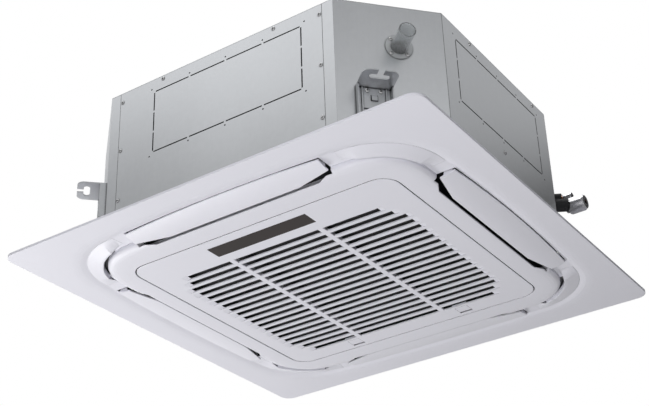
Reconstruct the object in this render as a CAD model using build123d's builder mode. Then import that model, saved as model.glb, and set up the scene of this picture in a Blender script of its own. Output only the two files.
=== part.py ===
"""Four-way ceiling cassette air conditioner: steel body, square panel, louvers and fan.

Millimetres. +Z is up. The panel faces the room below, and z = 0 is the face of the grille.
The slats run along X. Front is -Y, right is +X, and the pipes leave the back right corner.
"""
import os
from math import atan2, cos, degrees, hypot, radians, sin

from build123d import *

os.makedirs("parts", exist_ok=True)

# ---------------------------------------------------------------- driving dimensions
# panel
panel_side = 950.0
panel_corner = 25.0
panel_depth = 40.0          # from the grille's face up to the body
face_drop = 10.0            # the island and the grille hang this far below the rim
rim_depth = 5.0
moulding = 3.0              # wall of the panel's mouldings
ring_half = 422.0           # outside of the hollow ring round the island
ring_bow = 22.0
ring_corner = 150.0
ring_curve = ((-14.0, 0.0), (-7.0, 0.3), (0.0, 1.0), (5.0, 2.2), (9.0, 3.4), (12.0, 4.0))  # inset, rise
island_half = 367.0
island_bow = 10.0
island_corner = 108.0
island_curve = (            # insets and levels of the island's soft edge
    (0.0, 8.5), (1.2, 6.2), (3.0, 4.4), (6.0, 2.8), (11.0, 1.5), (18.0, 0.6), (26.0, 0.2), (34.0, 0.0),
)
island_hollow = ((14.0, 3.0), (4.0, 7.5))   # insets and levels of the hollow behind the island
corner_pad_z = 5.0          # pads at the ring's corners slope down to this level
corner_pad_start = 287.0
corner_pad_flat = 2.0
crescent_width = 8.0        # finger slot between a pad and the island

# louvers and their outlets
outlet_length = 452.0
outlet_outer = 409.0
outlet_inner = 346.0
outlet_duct_inner = 334.0
outlet_end = 36.0           # straight end of the face opening
outlet_straight = 380.0     # straight inner edge of the face opening
outlet_bow = 8.0
louver_gap = 1.5
louver_inner_gap = 6.0
louver_straight = 300.0
louver_end = 31.0
louver_thick = 3.0
louver_outer_z = 12.0       # lower face at the outer edge
louver_inner_z = 3.0        # lower face at the inner edge
louver_sag = 2.0            # the blade's section bulges towards the room
pivot_y = 385.0
pivot_z = 28.0
pivot_pin = 3.0
louver_arm = 3.0
louver_motor_radius = 10.0
louver_motor_length = 17.0

# intake grille
grille_x = 610.0
grille_y = 594.0
grille_corner = 38.0
grille_gap = 2.5
grille_skirt = 12.0
slat_rows = 19
slat_pitch = 24.6
slat_face = 8.0             # flat part of a slat, from its sharp front edge
slat_centre_y = 21.0
slat_half = 257.0           # half length of a full row of slots
slat_steps = (30.0, 15.0)   # the first and second rows are this much shorter at each end
slat_centre_x = -4.0
rib_places = (-116.0, 96.0)
rib_width = 11.0
lip_reach = 7.0             # the slat then curls up by this much over this reach
lip_rise = 9.0
lip_thick = 2.0
lip_middle = 0.62           # the curl's middle point, as shares of its reach and rise
lip_low = 0.25
slot_ramp = 12.0            # the ends of the slots run out into the face
slot_ramp_depth = 2.4
grille_edge = 1.0           # rounding of the hinged edge
display_x = -10.0
display_y = -254.0
display_length = 232.0
display_width = 38.0
latch_place_x = 137.0
latch_place_y = 272.0
latch_size = 28.0
latch_travel = 6.0
hinge_y = -263.0            # far enough in for the round corners to swing clear
hinge_z = 7.0
hinge_pin = 2.0
hinge_lug = 4.0
hinge_boss = 6.0

# steel body
body_side = 840.0
body_height = 288.0
sheet = 1.5
seam_gap = 0.6
seat_gap = 0.3              # loose fit between pieces that don't move
running_fit = 0.05          # radial fit of a pin or a shaft in its bore
hole_clearance = 0.5
foot_depth = 6.0            # side panels turn in under the pan
cover_lip = 12.0            # the top cover turns down inside the walls
corner_flange = 24.0        # corner panels wrap this far on to the front and back faces
joggle = 20.0
joggle_lap = 4.0
foam = 8.0
cut_front_left = (162.0, 158.0)     # corner cuts, along X and along Y
cut_front_right = (139.0, 158.0)
cut_back_right = (150.0, 255.0)
cut_back_left = (160.0, 160.0)
knockout_height = 140.0
knockout_z = 227.0
knockout_front = (353.0, 21.0)      # width, and place along the wall from its middle
knockout_right = (331.0, 0.0)
slit = 2.5
bridge = 5.0
pilot_hole = 1.6
pilot_off = 8.0
fresh_air_radius = 37.5
screw_head = 4.0
screw_head_height = 2.2
screw_shank = 2.0
screw_taper = 25.0
screw_from_seam = 6.0
seam_screw_z = (78.0, 191.0, 305.0)
cover_screw_z = 320.0
cover_screw_share = 0.87    # second screw of a short wall's upper edge
lower_screw_z = 126.0

# hangers
hanger_width = 67.0
hanger_reach = 57.0
hanger_ear_z = 136.0
hanger_sheet = 2.5
hanger_foot_z = 62.0
hanger_plate_z = 92.0
hanger_flange = 14.0
hanger_slot_length = 38.0
hanger_slot_width = 12.5
hanger_slot_out = 38.0
hanger_mouth = 12.0
hanger_round = 14.0
hanger_rib = 11.0           # width of the plate's legs
hanger_fold = 5.0
hanger_tab = 13.0
hanger_tab_z = 114.0
hanger_tab_gap = 1.0
bracket_screw_z = 129.5
bracket_screw_x = 12.5
hanger_place = {"front_left": 50.0, "front_right": 69.0, "back_right": 69.0, "back_left": 50.0}

# air path and coil
pan_height = 40.0
pan_corner = 60.0
pan_lip = 10.0              # the bell mouth's plate lies this far below the pan's top
pan_opening = 262.0         # half of the square opening at the top of the pan
pan_rebate = 23.0
pan_floor = 14.0
pan_wall = 8.0
trough_gap = 4.0
sump_gap = 6.0
pan_outlet_length = 420.0
pan_outlet_inner = 356.0
pan_outlet_outer = 404.0
coil_half = 345.0
coil_corner = 190.0
coil_thick = 38.0
coil_top_gap = 6.5
coil_end = 150.0
end_plate = 1.5
end_plate_lap = 2.0
gas_header_radius = 9.0
liquid_header_radius = 6.0
header_bottom = 90.0
header_height = 170.0
feeder_count = 5
feeder_radius = 3.5
bell_radius = 213.0
bell_throat = 157.0
bell_rise = 40.0
bell_sheet = 2.0

# fan
impeller_radius = 232.0
impeller_top = 229.0
impeller_bottom = 108.0
impeller_inlet = 165.0
impeller_plate = 3.0
shroud_rise = 38.0
shroud_bulge = 0.65
blade_overhang = 9.0
blade_count = 7
blade_wall = 3.5
blade_root = 148.0
blade_middle = 194.0
blade_tip = 230.0
blade_sweep = 33.0          # degrees that a blade falls back from root to tip
blade_bend = 0.4            # share of the sweep at the blade's middle
dish_outer = 98.0
dish_inner = 62.0
dish_z = 186.0
dish_skew = 1.5             # keeps the dish's wall about as thick as its plate
hub_radius = 18.0
hub_bottom = 160.0
shaft_radius = 6.0
shaft_bottom = 146.0
shaft_top = 300.0
nut_height = 8.0
nut_across = 18.0
motor_radius = 58.0
motor_bottom = 200.0
motor_top = 309.0
motor_foot_ring = 78.0
motor_foot = 3.5
motor_chamfer = 5.0
mount_radius = 11.0
cover_dish = 150.0
cover_press = 4.5
cover_rib_place = 255.0
cover_rib_length = 170.0
cover_rib_width = 30.0

# pipes and drain
gas_pipe_radius = 7.94
liquid_pipe_radius = 4.76
gas_z = 137.0
liquid_z = 167.0
header_x = 333.0
header_y = 176.0
liquid_shift = 17.0
gas_reach = 66.0
liquid_reach = 46.0
gas_nut = 30.0              # across the flats
gas_nut_length = 26.0
liquid_nut = 17.0
liquid_nut_length = 14.0
nut_collar = 5.0
nut_collar_share = 0.44     # collar's radius as a share of the width across flats
pipe_cap = 3.0
sleeve_wall = 5.5
pipe_plate_width = 84.0
pipe_plate_height = 86.0
pipe_plate_corner = 6.0
pipe_plate_sheet = 1.2
pipe_plate_margin = 12.0
drain_radius = 16.0
drain_wall = 2.2
drain_place = 122.0
drain_z = 235.0
drain_reach = 55.0
drain_inside = 34.0
drain_shoulder = 1.0        # the socket is thinner where it passes through its flange
drain_flange_radius = 26.0
drain_flange_sheet = 2.0
drain_screw = 21.5
fitting_reach = 5.0         # room for drilling a fitting from outside its plate
spout_drop = 19.0
riser_inset = 22.0
riser_radius = 8.0
riser_wall = 2.0
pump_radius = 26.0
pump_inset = 40.0
pump_height = 42.0
pump_motor_shift = 8.0
pump_motor_radius = 16.0
pump_motor_height = 54.0
float_place = 74.0
float_inset = 36.0
float_radius = 10.0
float_height = 14.0
float_travel = 15.0
float_base = 3.0
stem_radius = 3.0

# control box
box_length = 300.0
box_width = 60.0
box_depth = 32.0
box_y = 248.0
box_x = -40.0
board_margin = 16.0
board_stand = 5.0
board_thick = 1.6
board_part_height = 8.0

# small fittings of the panel
lug_length = 44.0           # lugs at the sides of the intake take the panel's screws
lug_reach = 12.0
panel_screw_x = 295.0
panel_screw_y = 200.0
panel_screw_shank = 2.4
panel_screw_head = 6.0
panel_screw_head_height = 3.0
panel_screw_depth = 12.0
seal_width = 7.0
seal_space = 4.0            # from the panel's collars up to the body
cradle_width = 15.0
cradle_half = 12.0
cradle_drop = 4.0
pin_in_motor = 7.0
arm_wall = 2.5
arm_foot = 20.0
arm_foot_lift = 1.0
arm_inset = 1.0
latch_plate = 2.0
latch_lap = 3.0
latch_cover = 1.0
latch_bolt_z = 5.3
latch_bolt_width = 14.0
latch_bolt_thick = 3.0
latch_bolt_reach = 25.0
keeper_gap = 1.0
window_flange = 2.0
display_lap = 6.0
filter_x = 560.0
filter_y = 480.0
filter_corner = 20.0
filter_thick = 10.0
filter_mesh = 2.0
filter_bar = 6.0

# ---------------------------------------------------------------- worked-out levels
rim_z = face_drop
ring_slope, ring_recess = ring_curve[-1]
ring_z = rim_z + ring_recess
body_z = panel_depth
top_z = body_z + body_height
wall_top = top_z - sheet
back_z = ring_z + moulding   # back of the panel's moulding, which carries the collars
collar_z = body_z - seal_space
pan_top = body_z + pan_height
trough_z = body_z + pan_floor
plate_z = pan_top - pan_lip
half_body = body_side / 2
coil_top = wall_top - coil_top_gap
stem_height = float_base + float_height + float_travel + 4 * seat_gap


def save(piece, name):
    """Label a finished piece and write it as one file."""
    piece.part.label = name
    export_step(piece.part, f"parts/{name}.step")


# ---------------------------------------------------------------- body outline and walls
def outline_points():
    """Corners of the eight-sided body, anticlockwise from the front wall's left end."""
    h = half_body
    return [
        (-h + cut_front_left[0], -h), (h - cut_front_right[0], -h),
        (h, -h + cut_front_right[1]), (h, h - cut_back_right[1]),
        (h - cut_back_right[0], h), (-h + cut_back_left[0], h),
        (-h, h - cut_back_left[1]), (-h, -h + cut_front_left[1]),
    ]


wall_names = ["front", "front_right", "right", "back_right", "back", "back_left", "left", "front_left"]


def wall_length(name):
    """Length of one wall of the body."""
    points = outline_points()
    i = wall_names.index(name)
    (x0, y0), (x1, y1) = points[i], points[(i + 1) % 8]
    return hypot(x1 - x0, y1 - y0)


def wall_plane(name, along, z, out=0.0):
    """Plane on a wall: x runs anticlockwise along it from its start, y is up, z points out."""
    points = outline_points()
    i = wall_names.index(name)
    (x0, y0), (x1, y1) = points[i], points[(i + 1) % 8]
    length = hypot(x1 - x0, y1 - y0)
    ux, uy = (x1 - x0) / length, (y1 - y0) / length
    origin = (x0 + ux * along + uy * out, y0 + uy * along - ux * out, z)
    return Plane(origin=origin, x_dir=(ux, uy, 0), z_dir=(uy, -ux, 0))


def octagon(inset):
    """The body's outline, drawn in by an inset."""
    with BuildSketch() as shape:
        with BuildLine():
            Polyline(*outline_points(), close=True)
        make_face()
        if inset > 0:
            offset(amount=-inset, kind=Kind.INTERSECTION)
    return shape.sketch


def bowed_square(half, bow, corner):
    """Square with sides bowed outwards by an arc and round corners."""
    end = half - bow
    with BuildSketch() as shape:
        with BuildLine():
            ThreePointArc((-end, -end), (0, -half), (end, -end))
            ThreePointArc((end, -end), (half, 0), (end, end))
            ThreePointArc((end, end), (0, half), (-end, end))
            ThreePointArc((-end, end), (-half, 0), (-end, -end))
        make_face()
        fillet(shape.vertices(), radius=corner)
    return shape.sketch


def ring_outline(inset):
    """Outline of the hollow ring round the island."""
    return bowed_square(ring_half - inset, ring_bow, ring_corner - inset)


def island_outline(inset):
    """Outline of the raised island."""
    return bowed_square(island_half - inset, island_bow, island_corner - inset)


# ---------------------------------------------------------------- screws in the walls
def hanger_along(name):
    """Middle of a hanger along its chamfered corner."""
    from_end = name.startswith("front") != name.endswith("right")
    place = hanger_place[name]
    return wall_length(name) - place if from_end else place


def wall_screws(name):
    """Every screw in one wall, as places along it from its start, and heights."""
    length = wall_length(name)
    if name in hanger_place:
        middle = hanger_along(name)
        return [(middle - bracket_screw_x, bracket_screw_z), (middle + bracket_screw_x, bracket_screw_z)]
    if name in ("front", "back"):
        ends = corner_flange + screw_from_seam
        places = [(ends, z) for z in seam_screw_z] + [(length - ends, z) for z in seam_screw_z]
        return places + [(length / 4, cover_screw_z), (3 * length / 4, cover_screw_z)]
    upper = [(length / 4, cover_screw_z), (cover_screw_share * length, cover_screw_z)]
    return upper + [(length / 2, lower_screw_z)]


def cut_screw_holes(name):
    """Drill one wall's screw holes through the sheets that lie on it."""
    with BuildSketch(wall_plane(name, 0, 0)) as holes:
        with Locations(*wall_screws(name)):
            Circle(screw_shank + running_fit)
    extrude(holes.sketch, amount=-2 * sheet, mode=Mode.SUBTRACT)


# ---------------------------------------------------------------- side panels
def knockout(width, height):
    """Pressed outline of a duct knock-out: slits with bridges, and small pilot holes."""
    part_x = width / 4
    part_y = height / 3
    for side in (-1, 1):
        with Locations(*[((i - 1.5) * part_x, side * height / 2) for i in range(4)]):
            Rectangle(part_x - bridge, slit, mode=Mode.SUBTRACT)
        with Locations(*[(side * width / 2, (i - 1) * part_y) for i in range(3)]):
            Rectangle(slit, part_y - bridge, mode=Mode.SUBTRACT)
        with Locations(*[(x * part_x, side * (height / 2 + pilot_off)) for x in (-1, 0, 1)]):
            Circle(pilot_hole, mode=Mode.SUBTRACT)
        with Locations(*[(x * (width / 2 + pilot_off), side * (height / 2 + pilot_off)) for x in (-1, 1)]):
            Circle(pilot_hole, mode=Mode.SUBTRACT)


def wall_ends(name):
    """How much of a flat wall the corner panels take at its start and at its end."""
    return corner_flange + seam_gap if name in ("front", "back") else seam_gap


for wall, opening in (("front", knockout_front), ("right", knockout_right), ("back", None), ("left", None)):
    with BuildPart() as side_panel:
        with BuildSketch(wall_plane(wall, wall_length(wall) / 2, 0)):
            with Locations((0, (body_z + wall_top) / 2)):
                Rectangle(wall_length(wall) - 2 * wall_ends(wall), wall_top - body_z)
            if opening:
                with Locations((opening[1], knockout_z)):
                    knockout(opening[0], knockout_height)
            if wall == "left":
                gap = degrees(bridge / fresh_air_radius)
                for turn in (0, 90, 180, 270):
                    with BuildLine():
                        CenterArc((0, knockout_z), fresh_air_radius, turn + gap / 2, 90 - gap)
                    trace(line_width=slit, mode=Mode.SUBTRACT)
        extrude(amount=-sheet)
        # a turned-in foot stiffens the lower edge
        with BuildSketch(wall_plane(wall, wall_length(wall) / 2, 0, -sheet)):
            with Locations((0, body_z + sheet / 2)):
                Rectangle(wall_length(wall) - 2 * wall_ends(wall) - 2 * joggle, sheet)
        extrude(amount=-foot_depth)
        cut_screw_holes(wall)
    save(side_panel, f"side_panel_{wall}")

# ---------------------------------------------------------------- pipe and drain places
def place_on_wall(name, start):
    """Where a point's shadow falls on a wall: distance along it, and depth inside it."""
    plane = wall_plane(name, 0, 0)
    to_start = Vector(start[0], start[1], 0) - plane.origin
    return to_start.dot(plane.x_dir), -to_start.dot(plane.z_dir)


gas_start = (header_x, header_y)
liquid_start = (header_x - liquid_shift, header_y + liquid_shift)
gas_along, gas_inside = place_on_wall("back_right", gas_start)
liquid_along, liquid_inside = place_on_wall("back_right", liquid_start)
pipe_plate_along = (gas_along + liquid_along) / 2
pipe_plate_z = (gas_z + liquid_z) / 2
pipe_window_width = pipe_plate_width - 2 * pipe_plate_margin
pipe_window_height = pipe_plate_height - 2 * pipe_plate_margin

# screws of the drain's flange and of the pipes' cover plate
drain_flange_screws = [
    (drain_place + drain_screw * cos(radians(turn)), drain_z + drain_screw * sin(radians(turn)))
    for turn in (45, 135, 225, 315)
]
plate_screw_x = (pipe_plate_width - pipe_plate_margin) / 2
plate_screw_z = (pipe_plate_height - pipe_plate_margin) / 2
pipe_plate_screws = [
    (pipe_plate_along + i * plate_screw_x, pipe_plate_z + j * plate_screw_z)
    for i in (-1, 1) for j in (-1, 1)
]


def fitting_screw_holes(name, places):
    """Drill the screw holes of a fitting through the sheets that lie on a wall."""
    with BuildSketch(wall_plane(name, 0, 0, fitting_reach)) as holes:
        with Locations(*places):
            Circle(screw_shank + running_fit)
    extrude(holes.sketch, amount=-fitting_reach - 2 * sheet, mode=Mode.SUBTRACT)


# ---------------------------------------------------------------- corner panels
corner_signs = {"front_left": (-1, -1), "front_right": (1, -1), "back_right": (1, 1), "back_left": (-1, 1)}
corner_cuts = {"front_left": cut_front_left, "front_right": cut_front_right,
               "back_right": cut_back_right, "back_left": cut_back_left}


def corner_region(name, x_reach, y_reach, mode):
    """Rectangle over one corner, reaching past the chamfer on to the two walls."""
    sx, sy = corner_signs[name]
    size_x = corner_cuts[name][0] + x_reach
    size_y = corner_cuts[name][1] + y_reach
    with Locations((sx * (half_body - size_x / 2), sy * (half_body - size_y / 2))):
        Rectangle(size_x, size_y, mode=mode)


def corner_skin(name):
    """The corner's chamfer with the flanges that wrap on to the front or back wall."""
    with BuildSketch() as skin:
        add(octagon(0))
        add(octagon(sheet), mode=Mode.SUBTRACT)
        corner_region(name, corner_flange, 0, Mode.INTERSECT)
    return skin.sketch


def corner_laps(name):
    """The joggled edges that carry on behind the two walls and take their screws."""
    with BuildSketch() as laps:
        add(octagon(sheet))
        add(octagon(2 * sheet), mode=Mode.SUBTRACT)
        corner_region(name, corner_flange + joggle, joggle, Mode.INTERSECT)
        corner_region(name, corner_flange - joggle_lap, -joggle_lap, Mode.SUBTRACT)
    return laps.sketch


for corner in corner_signs:
    with BuildPart() as corner_panel:
        with BuildSketch(Plane.XY.offset(body_z)):
            add(corner_skin(corner))
            add(corner_laps(corner))
        extrude(amount=wall_top - body_z)
        for wall in (corner, "front", "back"):
            cut_screw_holes(wall)
        if corner == "front_right":
            with BuildSketch(wall_plane(corner, drain_place, drain_z)):
                Circle(drain_radius + hole_clearance)
            extrude(amount=-2 * sheet, mode=Mode.SUBTRACT)
            fitting_screw_holes(corner, drain_flange_screws)
        if corner == "back_right":
            with BuildSketch(wall_plane(corner, pipe_plate_along, pipe_plate_z)):
                Rectangle(pipe_window_width, pipe_window_height)
            extrude(amount=-2 * sheet, mode=Mode.SUBTRACT)
            fitting_screw_holes(corner, pipe_plate_screws)
    save(corner_panel, f"corner_panel_{corner}")

# ---------------------------------------------------------------- top cover
with BuildPart() as top_cover:
    with BuildSketch(Plane.XY.offset(wall_top)):
        add(octagon(0))
        Circle(cover_dish, mode=Mode.SUBTRACT)
    extrude(amount=sheet)
    # pressed dish that carries the motor
    with BuildSketch(Plane.XZ):
        with Locations((cover_dish, top_z - sheet - cover_press)):
            Rectangle(sheet, sheet + cover_press, align=(Align.MIN, Align.MIN))
    revolve(axis=Axis.Z)
    with BuildSketch(Plane.XY.offset(wall_top - cover_press)):
        Circle(cover_dish)
    extrude(amount=sheet)
    # pressed stiffening ribs
    with BuildSketch(Plane.XY.offset(wall_top - cover_press)):
        with PolarLocations(cover_rib_place, 4):
            SlotOverall(cover_rib_length, cover_rib_width)
    extrude(amount=cover_press)
    with BuildSketch(Plane.XY.offset(top_z)):
        with PolarLocations(cover_rib_place, 4):
            SlotOverall(cover_rib_length - 2 * sheet, cover_rib_width - 2 * sheet)
    extrude(amount=-cover_press, mode=Mode.SUBTRACT)
    # lip turned down inside the four flat walls
    for wall in ("front", "right", "back", "left"):
        with BuildSketch(wall_plane(wall, wall_length(wall) / 2, wall_top - cover_lip / 2, -sheet)):
            Rectangle(wall_length(wall) - 2 * wall_ends(wall) - 2 * joggle, cover_lip)
        extrude(amount=-sheet)
        cut_screw_holes(wall)
save(top_cover, "top_cover")

# ---------------------------------------------------------------- hanger brackets
def hanger_ear():
    """The ear seen from above: a slot for a hanging rod, open at the outer edge."""
    with BuildSketch() as ear:
        with Locations((0, hanger_reach / 2)):
            Rectangle(hanger_width, hanger_reach)
        fillet(ear.vertices().group_by(Axis.Y)[-1], radius=hanger_round)
        with Locations((0, hanger_slot_out)):
            SlotOverall(hanger_slot_length, hanger_slot_width, mode=Mode.SUBTRACT)
        with Locations((0, hanger_reach)):
            Rectangle(hanger_mouth, 2 * (hanger_reach - hanger_slot_out), mode=Mode.SUBTRACT)
    return ear.sketch


hanger_middle_z = (hanger_foot_z + hanger_ear_z) / 2
for corner in hanger_place:
    along = hanger_along(corner)
    with BuildPart() as hanger:
        # back plate, screwed to the corner
        with BuildSketch(wall_plane(corner, along, 0)):
            with Locations((0, (hanger_plate_z + hanger_ear_z) / 2)):
                Rectangle(hanger_width, hanger_ear_z - hanger_plate_z)
            for side in (-1, 1):
                with Locations((side * (hanger_width - hanger_rib) / 2, hanger_middle_z)):
                    Rectangle(hanger_rib, hanger_ear_z - hanger_foot_z)
            with Locations((0, hanger_tab_z)):
                Rectangle(hanger_tab, hanger_tab, mode=Mode.SUBTRACT)
        extrude(amount=hanger_sheet)
        # flanges bent out along both sides, and a raised fold beside each
        with BuildSketch(wall_plane(corner, along, 0)):
            for side in (-1, 1):
                with Locations((side * (hanger_width - hanger_sheet) / 2, hanger_middle_z)):
                    Rectangle(hanger_sheet, hanger_ear_z - hanger_foot_z)
        extrude(amount=hanger_flange)
        with BuildSketch(wall_plane(corner, along, 0)):
            for side in (-1, 1):
                with Locations((side * (hanger_width / 2 - hanger_rib), hanger_middle_z)):
                    Rectangle(hanger_sheet, hanger_ear_z - hanger_foot_z)
        extrude(amount=hanger_fold)
        # the ear and its down-turned lips
        ear_plane = wall_plane(corner, along, hanger_ear_z)
        with BuildSketch(Plane(ear_plane.origin, x_dir=-ear_plane.x_dir, z_dir=(0, 0, 1))):
            add(hanger_ear())
        extrude(amount=hanger_sheet)
        # lanced tab, hanging from its upper edge
        with BuildSketch(wall_plane(corner, along, hanger_tab_z)):
            Rectangle(hanger_tab - 2 * hanger_tab_gap, hanger_tab)
        extrude(amount=hanger_sheet)
        with BuildSketch(wall_plane(corner, along, hanger_tab_z, hanger_sheet)):
            with Locations((0, -hanger_tab_gap)):
                Rectangle(hanger_tab - 2 * hanger_tab_gap, hanger_tab - 4 * hanger_tab_gap)
        extrude(amount=hanger_sheet)
        with BuildSketch(wall_plane(corner, along, bracket_screw_z)):
            with Locations((-bracket_screw_x, 0), (bracket_screw_x, 0)):
                Circle(screw_shank + running_fit)
        extrude(amount=hanger_sheet, mode=Mode.SUBTRACT)
    save(hanger, f"hanger_bracket_{corner}")

# ---------------------------------------------------------------- liner and drain pan
with BuildPart() as insulation_liner:
    with BuildSketch(Plane.XY.offset(pan_top)):
        add(octagon(2 * sheet))
        add(octagon(2 * sheet + foam), mode=Mode.SUBTRACT)
    extrude(amount=coil_top - pan_top)
    with BuildSketch(wall_plane("front_right", drain_place, drain_z)):
        Circle(drain_radius + hole_clearance)
    extrude(amount=-2 * sheet - foam, mode=Mode.SUBTRACT)
    with BuildSketch(wall_plane("back_right", pipe_plate_along, pipe_plate_z)):
        Rectangle(pipe_window_width, pipe_window_height)
    extrude(amount=-2 * sheet - foam, mode=Mode.SUBTRACT)
save(insulation_liner, "insulation_liner")


def side_frame(k, z):
    """Plane over one side of the panel: x along it, y inwards, so -y is outwards."""
    turn = radians(90 * k)
    return Plane(origin=(0, 0, z), x_dir=(cos(turn), sin(turn), 0), z_dir=(0, 0, 1))


def section_frame(k, along):
    """Upright plane across one side: x runs outwards, y is up."""
    turn = radians(90 * k)
    origin = (cos(turn) * along, sin(turn) * along, 0)
    return Plane(origin=origin, x_dir=(sin(turn), -cos(turn), 0), z_dir=(-cos(turn), -sin(turn), 0))


side_names = ("front", "right", "back", "left")
pan_bottom = body_z + sheet

with BuildPart() as drain_pan:
    with BuildSketch(Plane.XY.offset(pan_bottom)):
        add(octagon(2 * sheet))
        RectangleRounded(2 * pan_opening, 2 * pan_opening, pan_corner, mode=Mode.SUBTRACT)
    extrude(amount=pan_top - pan_bottom)
    with BuildSketch(Plane.XY.offset(pan_bottom)):
        side = 2 * (pan_opening + pan_rebate)
        RectangleRounded(side, side, pan_corner + pan_rebate)
    extrude(amount=plate_z - pan_bottom, mode=Mode.SUBTRACT)
    # trough under the coil, with a sump for the pump and the float
    with BuildSketch(Plane.XY.offset(trough_z)):
        outer = 2 * (coil_half + trough_gap)
        inner = 2 * (coil_half - coil_thick - trough_gap)
        RectangleRounded(outer, outer, coil_corner + trough_gap)
        RectangleRounded(inner, inner, coil_corner - coil_thick - trough_gap, mode=Mode.SUBTRACT)
    extrude(amount=pan_top - trough_z, mode=Mode.SUBTRACT)
    with BuildSketch(Plane.XY.offset(trough_z)):
        pump_spot = wall_plane("front_right", drain_place, 0, -pump_inset).origin
        float_spot = wall_plane("front_right", float_place, 0, -float_inset).origin
        sump_spot = wall_plane("front_right", drain_place, 0, -pump_inset - 2 * sump_gap).origin
        with Locations((pump_spot.X, pump_spot.Y), (sump_spot.X, sump_spot.Y)):
            Circle(pump_radius + sump_gap)
        with Locations((float_spot.X, float_spot.Y)):
            Circle(float_radius + sump_gap)
    extrude(amount=pan_top - trough_z, mode=Mode.SUBTRACT)
    # the four air outlets
    with BuildSketch(Plane.XY.offset(pan_bottom)):
        with PolarLocations((pan_outlet_inner + pan_outlet_outer) / 2, 4):
            Rectangle(pan_outlet_outer - pan_outlet_inner, pan_outlet_length)
        add(octagon(2 * sheet + pan_wall), mode=Mode.INTERSECT)
    extrude(amount=pan_top - pan_bottom, mode=Mode.SUBTRACT)
    with BuildSketch(Plane.XY.offset(pan_bottom)):
        with GridLocations(2 * panel_screw_x, 2 * panel_screw_y, 2, 2):
            Circle(panel_screw_shank + running_fit)
    extrude(amount=panel_screw_depth, mode=Mode.SUBTRACT)
save(drain_pan, "drain_pan")

# ---------------------------------------------------------------- coil
with BuildPart() as evaporator_coil:
    with BuildSketch(Plane.XY.offset(trough_z)):
        RectangleRounded(2 * coil_half, 2 * coil_half, coil_corner)
        inner = 2 * (coil_half - coil_thick)
        RectangleRounded(inner, inner, coil_corner - coil_thick, mode=Mode.SUBTRACT)
        with Locations((coil_end + half_body / 2, coil_end + half_body / 2)):
            Rectangle(half_body, half_body, mode=Mode.SUBTRACT)
    extrude(amount=coil_top - trough_z)
save(evaporator_coil, "evaporator_coil")

coil_middle = coil_half - coil_thick / 2
with BuildPart() as coil_end_plates:
    with BuildSketch(Plane.XY.offset(trough_z)):
        with Locations((coil_middle, coil_end + end_plate / 2)):
            Rectangle(coil_thick + 2 * end_plate_lap, end_plate)
        with Locations((coil_end + end_plate / 2, coil_middle)):
            Rectangle(end_plate, coil_thick + 2 * end_plate_lap)
    extrude(amount=coil_top - trough_z)
save(coil_end_plates, "coil_end_plates")

with BuildPart() as coil_headers:
    for start, radius in ((gas_start, gas_header_radius), (liquid_start, liquid_header_radius)):
        with BuildSketch(Plane.XY.offset(header_bottom)):
            with Locations(start):
                Circle(radius)
        extrude(amount=header_height)
        for i in range(feeder_count):
            level = header_bottom + (i + 0.5) * header_height / feeder_count
            with BuildSketch(Plane.XZ.offset(-coil_end - end_plate)):
                with Locations((start[0], level)):
                    Circle(feeder_radius)
            extrude(amount=-(start[1] - coil_end - end_plate))
save(coil_headers, "coil_headers")

# ---------------------------------------------------------------- refrigerant pipes
def pipe(along, inside, z, radius, header_radius, reach):
    """Straight copper pipe from a header out through the wall."""
    start = -inside + header_radius + running_fit
    with BuildSketch(wall_plane("back_right", along, z, start)) as section:
        Circle(radius)
    extrude(section.sketch, amount=reach - pipe_cap - start)


with BuildPart() as gas_pipe:
    pipe(gas_along, gas_inside, gas_z, gas_pipe_radius, gas_header_radius, gas_reach)
save(gas_pipe, "gas_pipe")

with BuildPart() as liquid_pipe:
    pipe(liquid_along, liquid_inside, liquid_z, liquid_pipe_radius, liquid_header_radius, liquid_reach)
save(liquid_pipe, "liquid_pipe")


gas_nut_start = gas_reach - pipe_cap - gas_nut_length
liquid_nut_start = liquid_reach - pipe_cap - liquid_nut_length
pipe_places = ((gas_along, gas_z, gas_pipe_radius), (liquid_along, liquid_z, liquid_pipe_radius))

with BuildPart() as flare_nuts:
    for along, z, radius, across, length, reach in (
        (gas_along, gas_z, gas_pipe_radius, gas_nut, gas_nut_length, gas_reach),
        (liquid_along, liquid_z, liquid_pipe_radius, liquid_nut, liquid_nut_length, liquid_reach),
    ):
        with BuildSketch(wall_plane("back_right", along, z, reach - pipe_cap - length)):
            RegularPolygon(across / 2, 6, major_radius=False)
            Circle(radius + running_fit, mode=Mode.SUBTRACT)
        extrude(amount=length)
        with BuildSketch(wall_plane("back_right", along, z, reach - pipe_cap - length - nut_collar)):
            Circle(nut_collar_share * across)
            Circle(radius + running_fit, mode=Mode.SUBTRACT)
        extrude(amount=nut_collar)
        with BuildSketch(wall_plane("back_right", along, z, reach - pipe_cap)):
            Circle(nut_collar_share * across)
        extrude(amount=pipe_cap)
save(flare_nuts, "flare_nuts")

with BuildPart() as pipe_insulation:
    for along, z, radius, start in (
        (gas_along, gas_z, gas_pipe_radius, gas_nut_start - nut_collar),
        (liquid_along, liquid_z, liquid_pipe_radius, liquid_nut_start - nut_collar),
    ):
        with BuildSketch(wall_plane("back_right", along, z, pipe_plate_sheet)):
            Circle(radius + sleeve_wall)
            Circle(radius + running_fit, mode=Mode.SUBTRACT)
        extrude(amount=start - pipe_plate_sheet)
save(pipe_insulation, "pipe_insulation")

with BuildPart() as pipe_cover_plate:
    with BuildSketch(wall_plane("back_right", pipe_plate_along, 0)):
        with Locations((0, pipe_plate_z)):
            RectangleRounded(pipe_plate_width, pipe_plate_height, pipe_plate_corner)
        for along, z, radius in pipe_places:
            with Locations((along - pipe_plate_along, z)):
                Circle(radius + hole_clearance, mode=Mode.SUBTRACT)
    extrude(amount=pipe_plate_sheet)
    fitting_screw_holes("back_right", pipe_plate_screws)
save(pipe_cover_plate, "pipe_cover_plate")

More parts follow.
